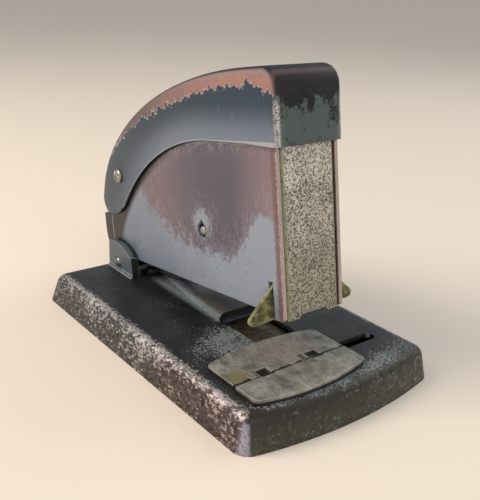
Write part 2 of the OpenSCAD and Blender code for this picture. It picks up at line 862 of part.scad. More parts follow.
// Region under the cap's lower edge: level at the front, then one arc down to the tail.
function cap_cut_outline() =
  let (
    low = cap_low_front - 0.2,
    top = cap_low_front + 0.6,
    run = cap_cut_u - cap_tail_u,
    drop = top - cap_tail_w,
    r = (run * run + drop * drop) / (2 * drop),
    tail = [cap_tail_u, cap_tail_w]
  )
  concat(
    [[cap_front + 5, -10], [cap_front + 5, low], [head_reach, low], [head_reach - 9, top - 0.2]],
    arc([cap_cut_u, top - r], r, 90, 90 + asin(run / r), 16),
    [tail + [-2.7, -1.7], tail + [-5, -2.4], tail + [-8.1, -2.6], tail + [-23, -2.6], [-20, -10]]
  );

module cap_form(half, inset) {
  edge = cap_edge_r - inset;
  hull() for (i = [0:3]) {
    a = 90 * i / 3;
    y = half - edge * (1 - sin(a));
    between_y(-y, y) polygon(cap_top_outline(inset + edge * (1 - cos(a))));
  }
}

// Pressed cover that the hand pushes down.
module cap() {
  color("#6b7478")
  on_head() difference() {
    cap_form(cap_out, 0);
    cap_form(cap_in, cap_t);
    between_y(-20, 20) polygon(cap_cut_outline());
    translate([-40, -20, -40]) cube([140, 40, 40]);
    shell_bore(pivot_d + 2 * turn_clear, pivot_u, pivot_w);
  }
}

// Bracket inside the front of the cap with the slot that pushes the driver.
module driver_hanger() {
  t = hanger_t;
  wide = 2 * hanger_half;
  u0 = driver_front - 2.2 - hanger_len;
  press_w = driver_top + 0.12;
  lip_w = driver_top - driver_t - 0.95 - t;
  color("#77797b")
  on_head() {
    // finger that presses on the blade's head
    translate([u0, -hanger_half, press_w]) cube([hanger_len, wide, t]);
    // web down to the lip that lifts the blade
    translate([u0, -hanger_half, lip_w]) cube([t, wide, press_w + t - lip_w]);
    translate([u0, -hanger_half, lip_w]) cube([hanger_lip, wide, t]);
    // wall up to the cap's top
    translate([u0 + 1, -hanger_half, press_w]) cube([t, wide, head_h - cap_t - press_w - seat]);
  }
}

// Blade with its head bent back, so that the hanger can press and lift it.
module driver_blade() {
  color("#9fa3a6")
  on_head() {
    translate([driver_rear, -staple_w / 2, driver_low])
      cube([driver_t, staple_w, driver_top - driver_low]);
    translate([driver_rear - driver_bend, -staple_w / 2 + 1, driver_top - driver_t])
      cube([driver_bend + driver_t, staple_w - 2, driver_t]);
  }
}

// Coil round the pin that lifts the cap.
module cap_return_spring() {
  r = pin_d / 2 + 0.35 + coil_wire / 2;
  color("#8f9294")
  on_head() translate([pin_u, -coil_turns * coil_lead / 2, pin_w]) rotate([-90, 0, 0])
    swept(coil_path(r, coil_lead, coil_turns, 20), coil_wire / 2, 8);
}

base_shell();
bottom_plate();
hinge_bracket();
bracket_rivets();
hinge_pin();
hinge_spacers();
head_lift_spring();
anvil_guide();
anvil();
anvil_keeper();
keeper_rivets();
magazine_channel();
nose_plate();
finger_wings();
staple_stick();
follower();
follower_rod();
follower_spring();
head_shell();
spring_bracket();
spring_pin();
driver_guide();
pivot_tube();
cap_screw();
cap_nut();
cap_return_spring();
cap();
driver_hanger();
driver_blade();
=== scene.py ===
"""Looks of a desk stapler with a tall quadrant head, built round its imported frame.

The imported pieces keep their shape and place. This script gives them their finishes, adds the small
formed details that stand on them, and sets a pale floor, soft light and a camera.
"""

import logging
import math
from dataclasses import dataclass
from enum import Enum
from functools import partial
from typing import Callable

import bpy
from mathutils import Matrix, Vector


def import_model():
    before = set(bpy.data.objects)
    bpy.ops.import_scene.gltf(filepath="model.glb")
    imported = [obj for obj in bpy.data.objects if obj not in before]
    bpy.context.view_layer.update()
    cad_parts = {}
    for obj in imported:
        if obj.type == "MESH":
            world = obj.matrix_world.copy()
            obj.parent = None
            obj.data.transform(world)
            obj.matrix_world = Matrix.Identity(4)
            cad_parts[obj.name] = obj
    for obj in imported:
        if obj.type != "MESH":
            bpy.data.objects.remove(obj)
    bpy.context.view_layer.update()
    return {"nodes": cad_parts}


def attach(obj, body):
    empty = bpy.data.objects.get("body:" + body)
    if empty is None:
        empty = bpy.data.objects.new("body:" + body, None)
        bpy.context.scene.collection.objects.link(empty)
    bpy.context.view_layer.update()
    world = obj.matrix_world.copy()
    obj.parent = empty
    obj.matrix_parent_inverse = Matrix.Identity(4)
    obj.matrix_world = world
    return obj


LOG = logging.getLogger("stapler")
MM = 0.001
WELD = 0.001 * MM
SHARP_PACKED = math.radians(36)
SHARP_ADDED = math.radians(50)
Add = Callable[..., bpy.types.Node]
Point = tuple[float, float, float]


class Process(Enum):
    """How a steel surface was made, with its typical metallic value and roughness."""

    PLATED = (1.0, 0.34)
    ROLLED = (1.0, 0.42)
    GROUND = (1.0, 0.28)


def linear(hex_colour: str) -> tuple[float, float, float, float]:
    """Turns an sRGB hex colour to linear.

    Args:
        hex_colour: Six hex digits after a hash sign.

    Returns:
        Linear red, green, blue and an alpha of 1.
    """
    parts = [int(hex_colour[i : i + 2], 16) / 255 for i in (1, 3, 5)]
    out = [c / 12.92 if c <= 0.04045 else ((c + 0.055) / 1.055) ** 2.4 for c in parts]
    return (*out, 1.0)


def add(tree: bpy.types.NodeTree, kind: str, *sources: object, inputs: dict | None = None,
        **settings: object) -> bpy.types.Node:
    """Adds a node with its settings and links.

    Args:
        tree: The node tree.
        kind: The node's type, after the words ShaderNode.
        sources: What goes into the live inputs, in their order: a node, a socket, a number or a hex
            colour.
        inputs: The same by the input's name.
        settings: Properties of the node.

    Returns:
        The new node.
    """
    node = tree.nodes.new("ShaderNode" + kind)
    for key, value in settings.items():
        setattr(node, key, value)
    live = [s for s in node.inputs if s.enabled]
    named = [(next(s for s in live if s.name == k), v) for k, v in (inputs or {}).items()]
    for socket, value in [*zip(live, sources), *named]:
        if isinstance(value, str):
            value = linear(value)
        if isinstance(value, bpy.types.Node):
            value = next(s for s in value.outputs if s.enabled)
        if isinstance(value, bpy.types.NodeSocket):
            tree.links.new(value, socket)
        else:
            socket.default_value = value
    return node


def new_material(name: str) -> tuple[bpy.types.Material, Add]:
    """Makes an empty material.

    Args:
        name: The material's name.

    Returns:
        The material, and the function that adds nodes to it.
    """
    material = bpy.data.materials.new(name)
    material.use_nodes = True
    material.node_tree.nodes.clear()
    return material, partial(add, material.node_tree)


@dataclass(frozen=True)
class HeadFrame:
    """The head's own frame: its origin is the hinge axis and its X runs toward the nose.

    Sizes are in millimetres. The cap's lower edge is an arc of curve_r, curve_back behind the nose.
    """

    hinge_x: float = -35.85
    hinge_z: float = 10.3
    pitch: float = 9.5
    reach: float = 67.5
    cap_h: float = 50.0
    curve_back: float = 23.0
    curve_w: float = -19.1
    curve_r: float = 54.0

    def rotation(self) -> Matrix:
        """The turn from the row frame to the head's frame."""
        return Matrix.Rotation(math.radians(self.pitch), 3, "Y")

    def place(self, n: Add) -> bpy.types.Node:
        """Adds the surface point in the head's frame.

        Args:
            n: The function that adds nodes.

        Returns:
            The node that gives the point, in millimetres.
        """
        shift = -(self.rotation() @ Vector((self.hinge_x, 0, self.hinge_z)))
        turn = (0, math.radians(self.pitch), 0)
        return n("Mapping", n("TexCoord").outputs["Object"], shift, turn, (1 / MM,) * 3)

    def facing(self, n: Add, direction: Point) -> bpy.types.NodeSocket:
        """Adds how much the surface faces a direction.

        Args:
            n: The function that adds nodes.
            direction: The direction, in the head's frame.

        Returns:
            The socket with the cosine of the angle between them.
        """
        return facing(n, self.rotation().inverted() @ Vector(direction))

    def edge_distance(self, n: Add, place: bpy.types.Node) -> bpy.types.NodeSocket:
        """Adds the distance from the centre of the arc of the cap's lower edge.

        Args:
            n: The function that adds nodes.
            place: The surface point in this frame.

        Returns:
            The socket with the distance, in millimetres.
        """
        return rear_quarter(n, place, (self.reach - self.curve_back, 0, self.curve_w), (1, 1, 1))


def row_place(n: Add) -> bpy.types.Node:
    """Adds the surface point in the row frame, in millimetres."""
    return n("Mapping", n("TexCoord").outputs["Object"], (0, 0, 0), (0, 0, 0), (1 / MM,) * 3)


def facing(n: Add, direction: Point | Vector) -> bpy.types.NodeSocket:
    """Adds how much the surface faces a direction.

    Args:
        n: The function that adds nodes.
        direction: The direction, in the row frame.

    Returns:
        The socket with the cosine of the angle between them.
    """
    normal = n("TexCoord").outputs["Normal"]
    return n("VectorMath", normal, direction, operation="DOT_PRODUCT").outputs["Value"]


def ellipse(n: Add, place: bpy.types.Node, centre: Point, radii: Point) -> bpy.types.NodeSocket:
    """Adds the distance from a centre as a share of an ellipse's radii.

    Args:
        n: The function that adds nodes.
        place: The surface point, in millimetres.
        centre: The ellipse's centre.
        radii: Its radii. An axis whose radius is 0 is left out.

    Returns:
        The socket with the distance, which is 1 on the ellipse.
    """
    away = n("VectorMath", place, centre, operation="SUBTRACT")
    away = n("VectorMath", away, tuple(1 / r if r else 0 for r in radii), operation="MULTIPLY")
    return n("VectorMath", away, operation="LENGTH").outputs["Value"]


def rear_quarter(n: Add, place: bpy.types.Node, centre: Point, radii: Point) -> bpy.types.NodeSocket:
    """Adds the distance from a centre, where only the height counts in front of that centre.

    Args:
        n: The function that adds nodes.
        place: The surface point in the head's frame, in millimetres.
        centre: The centre.
        radii: The radii of the quarter of an ellipse behind it.

    Returns:
        The socket with the distance, which is 1 on the ellipse.
    """
    no_limit = 1000
    away = n("VectorMath", place, centre, operation="SUBTRACT")
    away = n("VectorMath", away, (1, 0, 1), operation="MULTIPLY")
    away = n("VectorMath", away, (0, 0, no_limit), operation="MINIMUM")
    away = n("VectorMath", away, radii, operation="DIVIDE")
    return n("VectorMath", away, operation="LENGTH").outputs["Value"]


HEAD = HeadFrame()


def worn_edge(n: Add, radius: float, low: float, high: float) -> bpy.types.Node:
    """Adds a mask of the rubbed edges.

    Args:
        n: The function that adds nodes.
        radius: How far the rubbing reaches, in millimetres.
        low: Share of the edge's full turn where the mask starts.
        high: Share of the edge's full turn where the mask is full.

    Returns:
        The node that gives the mask, 1 on the edge.
    """
    soft = n("Bevel", radius * MM, samples=6)
    hard = n("NewGeometry").outputs["Normal"]
    cosine = n("VectorMath", soft, hard, operation="DOT_PRODUCT").outputs["Value"]
    return n("MapRange", cosine, 1 - low, 1 - high, 0.0, 1.0, interpolation_type="SMOOTHSTEP")


def coated(n: Add, colour: object, metallic: object, roughness: object, height: object = None,
           depth: float = 0.0, edge: float = 0.25) -> None:
    """Ends a material with its shader.

    Args:
        n: The function that adds nodes.
        colour: The surface colour.
        metallic: Share of bare metal.
        roughness: The roughness.
        height: Relief from 0 to 1, or None.
        depth: Depth of the relief in millimetres.
        edge: Radius that the edges are rounded to in the light, in millimetres.
    """
    soft = n("Bevel", edge * MM, samples=4)
    if height is not None:
        soft = n("Bump", 1.0, depth * MM, inputs={"Height": height, "Normal": soft})
    wanted = {"Base Color": colour, "Metallic": metallic, "Roughness": roughness, "Normal": soft}
    n("OutputMaterial", n("BsdfPrincipled", inputs=wanted))


@dataclass(frozen=True)
class DullSteel:
    """Plain, plated or ground steel, mottled by age.

    Rolled steel gives a soft grey sheen; its mottling is a few millimetres wide and its tooling marks
    are fine lines, drawn 0.2 mm wide so that they show.
    """

    name: str
    light: str
    dark: str
    process: Process = Process.ROLLED
    rim: str = "#c9c6ba"
    grime: str = "#2a2822"
    mottle: float = 2.0
    tooling: float = 0.2
    rough_add: float = 0.0
    tarnish: float = 0.35
    bare_share: float = 0.85

    def build(self) -> bpy.types.Material:
        """Builds the material.

        Returns:
            The material.
        """
        metallic, rough = self.process.value
        rough += self.rough_add
        material, n = new_material(self.name)
        place = row_place(n)
        wide = n("TexNoise", place, 1 / self.mottle, 4.0, 0.6)
        fine = n("TexNoise", place, 1 / self.tooling, 2.0, 0.5)
        blend = n("MapRange", wide, 0.38, 0.62, 0.0, 1.0)
        colour = n("Mix", blend, self.light, self.dark, data_type="RGBA")
        grime = n("MapRange", fine, 0.5, 0.75, 0.0, self.tarnish)
        colour = n("Mix", grime, colour, self.grime, data_type="RGBA")
        rim = n("Math", worn_edge(n, 0.18, 0.03, 0.2), 0.7, operation="MULTIPLY")
        colour = n("Mix", rim, colour, self.rim, data_type="RGBA")
        spread = n("MapRange", wide, 0.3, 0.7, rough - 0.06, rough + 0.12)
        coated(n, colour, metallic * self.bare_share, spread, fine, 0.006)
        return material


@dataclass(frozen=True)
class CapEnamel:
    """Blue-grey stoving enamel over coppery primer, worn to bare steel at the front corner.

    The hand has rubbed the top edge through to the primer, whose boundary is ragged in steps of a
    millimetre or two. The top and front are stained nearly black. Sizes are in millimetres of the
    head's frame.
    """

    enamel: str = "#263a48"
    enamel_low: str = "#707b8d"
    scuff: str = "#9aa1a8"
    primer: str = "#9c7470"
    primer_orange: str = "#a87c68"
    primer_mauve: str = "#8d7c82"
    primer_grey: str = "#5f5355"
    primer_speck: str = "#6d5048"
    chip: str = "#c4c3bd"
    rim: str = "#b7b9bd"
    bare: str = "#b9b5ac"
    stain: str = "#130e0b"
    front: str = "#56605b"
    front_speck: str = "#3b433c"
    top: str = "#16110e"
    band: float = 3.9
    flat_from: float = 58.5
    top_centre: float = 14.0
    tail: float = 9.2
    mean_radius: float = 40.0
    step: float = 2.6
    speck: float = 0.45
    cloud: float = 6.0
    blot: float = 3.4

    def outline_depth(self, n: Add, place: bpy.types.Node) -> bpy.types.Node:
        """Adds the depth below the cap's top outline.

        Args:
            n: The function that adds nodes.
            place: The surface point.

        Returns:
            The node with the depth, about in millimetres.
        """
        radii = (self.flat_from + self.tail, 1, HEAD.cap_h - self.top_centre)
        share = rear_quarter(n, place, (self.flat_from, 0, self.top_centre), radii)
        return n("Math", n("Math", 1.0, share, operation="SUBTRACT"), self.mean_radius, operation="MULTIPLY")

    def worn_margin(self, n: Add, place: bpy.types.Node, u: bpy.types.NodeSocket,
                    depth: bpy.types.Node) -> bpy.types.Node:
        """Adds how far a point is inside the worn band.

        The band widens from the tail and turns down the front corner.

        Args:
            n: The function that adds nodes.
            place: The surface point.
            u: Its distance ahead of the hinge.
            depth: Its depth below the top outline.

        Returns:
            The node with the margin, in millimetres.
        """
        ragged = n("TexNoise", place, 1 / self.step, 5.0, 0.62)
        width = n("MapRange", u, -8.0, 26.0, -0.1, self.band)
        turn = n("MapRange", u, 63.0, 67.2, 0.0, 2.2, interpolation_type="SMOOTHSTEP")
        width = n("Math", width, turn, operation="ADD")
        jag = n("MapRange", ragged, 0.25, 0.75, -1.9, 1.9)
        scale = n("MapRange", u, -6.0, 20.0, 0.25, 1.0)
        width = n("Math", jag, scale, width, operation="MULTIPLY_ADD")
        return n("Math", width, depth, operation="SUBTRACT")

    def enamel_coat(self, n: Add, place: bpy.types.Node, u: bpy.types.NodeSocket,
                    above_edge: bpy.types.Node) -> bpy.types.Node:
        """Adds the enamel's colour, lighter toward the lower edge and scuffed.

        The scuffs are upright streaks, 0.4 mm wide and 3 mm long.

        Args:
            n: The function that adds nodes.
            place: The surface point.
            u: Its distance ahead of the hinge.
            above_edge: Its distance above the cap's lower edge.

        Returns:
            The node with the colour.
        """
        sheen = n("MapRange", above_edge, 8.5, 0.0, 0.0, 0.95, interpolation_type="SMOOTHSTEP")
        sheen = n("Math", sheen, n("MapRange", u, 0.0, 30.0, 0.25, 1.0), operation="MULTIPLY")
        enamel = n("Mix", sheen, self.enamel, self.enamel_low, data_type="RGBA")
        streaks = n("Mapping", place, (0, 0, 0), (0, 0.4, 0), (2.4, 1.0, 0.35))
        scuff = n("MapRange", n("TexNoise", streaks, 1.0, 3.0, 0.55), 0.66, 0.76, 0.0, 0.55)
        return n("Mix", scuff, enamel, self.scuff, data_type="RGBA")

    def primer_coat(self, n: Add, u: bpy.types.NodeSocket, depth: bpy.types.Node, wide: bpy.types.Node,
                    fine: bpy.types.Node) -> bpy.types.Node:
        """Adds the primer's colour: orange clouds, mauve along the top, grey toward the tail.

        Args:
            n: The function that adds nodes.
            u: The distance ahead of the hinge.
            depth: The depth below the top outline.
            wide: The clouds.
            fine: The specks.

        Returns:
            The node with the colour.
        """
        orange = n("MapRange", wide, 0.46, 0.62, 0.0, 1.0)
        primer = n("Mix", orange, self.primer, self.primer_orange, data_type="RGBA")
        mauve = n("MapRange", depth, 2.4, 0.4, 0.0, 0.85)
        primer = n("Mix", mauve, primer, self.primer_mauve, data_type="RGBA")
        worn = n("MapRange", u, 46.0, 18.0, 0.0, 0.85)
        primer = n("Mix", worn, primer, self.primer_grey, data_type="RGBA")
        specks = n("MapRange", fine, 0.5, 0.72, 0.0, 0.5)
        return n("Mix", specks, primer, self.primer_speck, data_type="RGBA")

    def front_face(self, n: Add, place: bpy.types.Node, w: bpy.types.NodeSocket,
                   fine: bpy.types.Node) -> bpy.types.Node:
        """Adds the front's colour, with stain that runs down from the top in blots.

        Args:
            n: The function that adds nodes.
            place: The surface point.
            w: Its height above the hinge.
            fine: The specks.

        Returns:
            The node with the colour.
        """
        gloom = n("MapRange", w, 47.0, 39.5, 0.33, -0.03)
        blot = n("Math", n("TexNoise", place, 1 / self.blot, 6.0, 0.7), gloom, operation="ADD")
        blot = n("MapRange", blot, 0.52, 0.6, 0.0, 1.0, interpolation_type="SMOOTHSTEP")
        specks = n("MapRange", fine, 0.35, 0.7, 0.0, 0.35)
        front = n("Mix", specks, self.front, self.front_speck, data_type="RGBA")
        return n("Mix", blot, front, self.stain, data_type="RGBA")

    def rubbed_corner(self, n: Add, w: bpy.types.NodeSocket, fine: bpy.types.Node) -> bpy.types.Node:
        """Adds the mask of the two front corners, rubbed white below the stain.

        Args:
            n: The function that adds nodes.
            w: The height above the hinge.
            fine: The specks.

        Returns:
            The node with the mask.
        """
        corner = n("MapRange", HEAD.facing(n, (0.8, -0.6, 0)), 0.86, 0.97, 0.0, 1.0)
        other = n("MapRange", HEAD.facing(n, (0.8, 0.6, 0)), 0.86, 0.97, 0.0, 1.0)
        corner = n("Math", corner, other, operation="MAXIMUM")
        corner = n("Math", corner, n("MapRange", w, 44.5, 42.0, 0.0, 1.0), operation="MULTIPLY")
        return n("Math", corner, n("MapRange", fine, 0.42, 0.5, 0.1, 1.0), operation="MULTIPLY")

    def build(self) -> bpy.types.Material:
        """Builds the material.

        Returns:
            The material.
        """
        material, n = new_material("stoving_enamel_blue_grey")
        place = HEAD.place(n)
        u, _, w = n("SeparateXYZ", place).outputs
        fine = n("TexNoise", place, 1 / self.speck, 4.0, 0.6)
        wide = n("TexNoise", place, 1 / self.cloud, 3.0, 0.5)

        # sides: enamel, primer where it is worn through, bright chips along that boundary
        depth = self.outline_depth(n, place)
        margin = self.worn_margin(n, place, u, depth)
        through = n("MapRange", margin, -0.12, 0.12, 0.0, 1.0, interpolation_type="SMOOTHSTEP")
        chip = n("MapRange", n("Math", margin, operation="ABSOLUTE"), 0.28, 0.05, 0.0, 1.0)
        chip = n("Math", chip, n("MapRange", fine, 0.45, 0.6, 0.0, 1.0), operation="MULTIPLY")
        above_edge = n("Math", HEAD.edge_distance(n, place), HEAD.curve_r, operation="SUBTRACT")
        enamel = self.enamel_coat(n, place, u, above_edge)
        primer = self.primer_coat(n, u, depth, wide, fine)
        side = n("Mix", through, enamel, primer, data_type="RGBA")
        side = n("Mix", chip, side, self.chip, data_type="RGBA")
        # painted highlight along the cap's lower edge
        rim = n("MapRange", above_edge, 0.3, 0.15, 0.0, 0.7)
        side = n("Mix", rim, side, self.rim, data_type="RGBA")

        # front, then the top and the tail, which face neither ahead nor sideways
        ahead = n("MapRange", HEAD.facing(n, (1, 0, 0)), 0.55, 0.85, 0.0, 1.0)
        colour = n("Mix", ahead, side, self.front_face(n, place, w, fine), data_type="RGBA")
        sideways = n("Math", HEAD.facing(n, (0, 1, 0)), operation="ABSOLUTE")
        above = n("MapRange", sideways, 0.9, 0.6, 0.0, 1.0)
        above = n("Math", above, n("Math", 1.0, ahead, operation="SUBTRACT"), operation="MULTIPLY")
        dark = n("MapRange", u, 10.0, 40.0, 0.35, 0.95)
        dark = n("Math", dark, n("MapRange", wide, 0.3, 0.6, 0.7, 1.0), operation="MULTIPLY")
        top = n("Mix", dark, self.enamel, self.top, data_type="RGBA")
        colour = n("Mix", above, colour, top, data_type="RGBA")
        corner = self.rubbed_corner(n, w, fine)
        colour = n("Mix", corner, colour, self.bare, data_type="RGBA")

        metal = n("Math", corner, 0.5, operation="MULTIPLY")
        rough = n("Mix", n("Math", through, above, operation="MAXIMUM"), 0.36, 0.6)
        relief = n("Math", n("Math", through, -1.0, 1.0, operation="MULTIPLY_ADD"), fine, operation="ADD")
        coated(n, colour, metal, rough, relief, 0.02, 0.4)
        return material


@dataclass(frozen=True)
class ShellEnamel:
    """Light grey stoving enamel on pressed steel, rubbed through in a large patch on each side.

    The patch is mauve-brown primer. Its lower edge breaks into slanting scratches, half a millimetre
    wide and one to two long, with finer ones inside them. The front edge is rubbed to pinkish copper and
    the rear edge to bare steel. Sizes are in millimetres of the head's frame.
    """

    enamel: str = "#8f98a6"
    cool: str = "#737e8d"
    hinge_shade: str = "#4f5a58"
    pit: str = "#474a50"
    patch: str = "#565362"
    patch_left: str = "#74656d"
    patch_right: str = "#836f78"
    patch_scratch: str = "#a0949a"
    patch_speck: str = "#5b4a4a"
    tail_shadow: str = "#15140f"
    shadow: str = "#17181a"
    copper: str = "#7b5e5d"
    copper_edge_highlight: str = "#cdb9b2"
    rear_rim: str = "#b3b6ba"
    bare: str = "#403f3d"
    bare_speck: str = "#4e4842"
    rust: str = "#4a403c"
    patch_centre: Point = (46.0, 0.0, 28.0)
    patch_radii: Point = (35.0, 0.0, 18.5)
    peep_hole: Point = (39.3, 0.0, 15.3)
    peep_clear: float = 3.4
    lump: float = 2.2
    cloud: float = 7.0
    speck: float = 0.4

    def patch_depth(self, n: Add, place: bpy.types.Node, u: bpy.types.NodeSocket, w: bpy.types.NodeSocket,
                    below_cap: bpy.types.Node) -> bpy.types.Node:
        """Adds how far a point is inside the rubbed patch.

        The patch is an oval that stays clear of the peep hole, the cap and the foot of the nose.

        Args:
            n: The function that adds nodes.
            place: The surface point.
            u: Its distance ahead of the hinge.
            w: Its height above the hinge.
            below_cap: Its distance below the cap's edge.

        Returns:
            The node with the depth, about in millimetres.
        """
        oval = ellipse(n, place, self.patch_centre, self.patch_radii)
        inside = n("Math", n("Math", 1.0, oval, operation="SUBTRACT"), 21.0, operation="MULTIPLY")
        rise = n("MapRange", u, 50.0, 61.0, 9.0, 20.5)
        inside = n("Math", inside, n("Math", w, rise, operation="SUBTRACT"), operation="MINIMUM")
        hole = n("Math", ellipse(n, place, self.peep_hole, (1, 0, 1)), self.peep_clear, operation="SUBTRACT")
        inside = n("Math", inside, n("Math", hole, 1.6, operation="MULTIPLY"), operation="MINIMUM")
        margin = n("Math", n("Math", below_cap, 0.9, operation="SUBTRACT"), 3.0, operation="MULTIPLY")
        return n("Math", inside, margin, operation="MINIMUM")

    def scratched_edge(self, n: Add, place: bpy.types.Node, w: bpy.types.NodeSocket,
                       inside: bpy.types.Node, streak: bpy.types.Node) -> bpy.types.Node:
        """Adds the patch's mask, whose edge breaks up more toward the bottom.

        Args:
            n: The function that adds nodes.
            place: The surface point.
            w: Its height above the hinge.
            inside: Its depth inside the patch.
            streak: The slanting scratches.

        Returns:
            The node with the mask.
        """
        lump = n("TexNoise", place, 1 / self.lump, 4.0, 0.6)
        reach = n("MapRange", w, 24.0, 12.0, 5.0, 11.0)
        scratch = n("Math", n("Math", streak, 0.5, operation="SUBTRACT"), 2.2, operation="MULTIPLY")
        scratch = n("Math", n("Math", lump, 0.5, operation="SUBTRACT"), scratch, operation="ADD")
        grown = n("Math", inside, 0.8, operation="ADD")
        ragged = n("Math", scratch, reach, grown, operation="MULTIPLY_ADD")
        return n("MapRange", ragged, -0.35, 0.35, 0.0, 1.0)

    def enamel_coat(self, n: Add, place: bpy.types.Node, wide: bpy.types.Node,
                    pits: bpy.types.Node) -> bpy.types.Node:
        """Adds the enamel's colour, cooler toward the hinge and then darker round it, where a painted shade
        stands for the ear's shadow.

        Args:
            n: The function that adds nodes.
            place: The surface point.
            wide: The clouds.
            pits: The mask of the pits.

        Returns:
            The node with the colour.
        """
        far = ellipse(n, place, (0, 0, 0), (1, 0, 1 / 1.3))
        far = n("Math", far, n("MapRange", wide, 0.3, 0.7, -5.0, 5.0), operation="ADD")
        cool = n("MapRange", far, 48.0, 12.0, 0.0, 0.95, interpolation_type="SMOOTHSTEP")
        enamel = n("Mix", cool, self.enamel, self.cool, data_type="RGBA")
        # painted shade round the hinge, standing for the shadow that the ear casts on the shell
        hinge_shade = n("MapRange", far, 13.5, 8.0, 0.0, 0.75, interpolation_type="SMOOTHSTEP")
        enamel = n("Mix", hinge_shade, enamel, self.hinge_shade, data_type="RGBA")
        return n("Mix", pits, enamel, self.pit, data_type="RGBA")

    def patch_tone(self, n: Add, u: bpy.types.NodeSocket, inside: bpy.types.Node, streak: bpy.types.Node,
                   fine: bpy.types.Node) -> bpy.types.Node:
        """Adds the patch's colour, with pale scratches toward its border.

        Args:
            n: The function that adds nodes.
            u: The distance ahead of the hinge.
            inside: The depth inside the patch.
            streak: The slanting scratches.
            fine: The specks.

        Returns:
            The node with the colour.
        """
        left = n("MapRange", u, 40.0, 22.0, 0.0, 1.0)
        right = n("MapRange", u, 52.0, 64.0, 0.0, 1.0)
        tone = n("Mix", left, self.patch, self.patch_left, data_type="RGBA")
        tone = n("Mix", right, tone, self.patch_right, data_type="RGBA")
        border = n("MapRange", inside, 9.0, 1.0, 0.0, 1.0)
        pale = n("Math", n("MapRange", streak, 0.5, 0.58, 0.0, 0.6), border, operation="MULTIPLY")
        tone = n("Mix", pale, tone, self.patch_scratch, data_type="RGBA")
        specks = n("MapRange", fine, 0.5, 0.75, 0.0, 0.4)
        return n("Mix", specks, tone, self.patch_speck, data_type="RGBA")

    def under_cap(self, n: Add, colour: bpy.types.Node, u: bpy.types.NodeSocket,
                  below_cap: bpy.types.Node) -> bpy.types.Node:
        """Adds the painted shadow under the cap's tail, and the shadow line under the cap's edge.

        Args:
            n: The function that adds nodes.
            colour: The colour so far.
            u: The distance ahead of the hinge.
            below_cap: The distance below the cap's edge.

        Returns:
            The node with the new colour.
        """
        # painted shadow below the cap's lower edge near the tail, where the cap stands away from the shell
        tail_shadow = n("MapRange", below_cap, 2.6, 0.9, 0.0, 1.0, interpolation_type="SMOOTHSTEP")
        tail_shadow = n("Math", tail_shadow, n("MapRange", u, 30.0, 10.0, 0.0, 1.0), operation="MULTIPLY")
        colour = n("Mix", tail_shadow, colour, self.tail_shadow, data_type="RGBA")
        gap = n("MapRange", u, 8.0, 40.0, 0.75, 0.25)
        gap = n("MapRange", n("Math", gap, below_cap, operation="SUBTRACT"), -0.2, 0.1, 0.0, 0.93)
        return n("Mix", gap, colour, self.shadow, data_type="RGBA")

    def build(self) -> bpy.types.Material:
        """Builds the material.

        Returns:
            The material.
        """
        material, n = new_material("stoving_enamel_light_grey")
        place = HEAD.place(n)
        u, _, w = n("SeparateXYZ", place).outputs
        slant = n("Mapping", place, (0, 0, 0), (0, -0.5, 0), (1.9, 1.0, 0.75))
        streak = n("TexNoise", slant, 1.0, 8.0, 0.8)
        wide = n("TexNoise", place, 1 / self.cloud, 3.0, 0.5)
        fine = n("TexNoise", place, 1 / self.speck, 3.0, 0.6)
        spots = n("Mapping", place, (0, 0, 0), (0, -0.5, 0), (1.7, 1.0, 0.9))
        spots = n("TexNoise", spots, 1.0, 3.0, 0.55)
        spots = n("Math", spots, n("MapRange", w, 16.0, 9.0, 0.71, 0.655), operation="SUBTRACT")
        pits = n("MapRange", spots, 0.0, 0.03, 0.0, 0.7)
        below_cap = n("Math", HEAD.curve_r, HEAD.edge_distance(n, place), operation="SUBTRACT")

        inside = self.patch_depth(n, place, u, w, below_cap)
        patch = self.scratched_edge(n, place, w, inside, streak)
        enamel = self.enamel_coat(n, place, wide, pits)
        tone = self.patch_tone(n, u, inside, streak, fine)
        colour = self.under_cap(n, n("Mix", patch, enamel, tone, data_type="RGBA"), u, below_cap)

        # front edge, rubbed to pinkish copper, with a painted highlight along its very edge
        edge = n("Math", u, n("MapRange", fine, 0.3, 0.7, -0.35, 0.35), operation="ADD")
        copper = n("MapRange", edge, HEAD.reach - 2.1, HEAD.reach - 1.3, 0.0, 0.9)
        colour = n("Mix", copper, colour, self.copper, data_type="RGBA")
        # painted highlight in the last 0.3 mm of the front edge
        bright = n("MapRange", edge, HEAD.reach - 0.3, HEAD.reach, 0.0, 0.8)
        colour = n("Mix", bright, colour, self.copper_edge_highlight, data_type="RGBA")

        # rear edge, rubbed bare
        back = n("MapRange", u, -5.7, -6.1, 0.0, 1.0)
        line = n("MapRange", u, -5.5, -5.8, 0.0, 0.8)
        colour = n("Mix", line, colour, self.rear_rim, data_type="RGBA")
        rusty = n("MapRange", w, 9.0, 4.0, 0.0, 1.0)
        steel = n("Mix", rusty, self.bare, self.rust, data_type="RGBA")
        specks = n("MapRange", fine, 0.4, 0.7, 0.0, 0.3)
        steel = n("Mix", specks, steel, self.bare_speck, data_type="RGBA")
        colour = n("Mix", back, colour, steel, data_type="RGBA")

        bare = n("Math", back, copper, operation="MAXIMUM")
        rough = n("Mix", n("Math", patch, bare, operation="MAXIMUM"), 0.34, 0.5)
        relief = n("Math", n("Math", patch, -1.0, 1.0, operation="MULTIPLY_ADD"), pits, operation="SUBTRACT")
        coated(n, colour, n("Math", bare, 0.35, operation="MULTIPLY"), rough, relief, 0.02, 0.3)
        return material


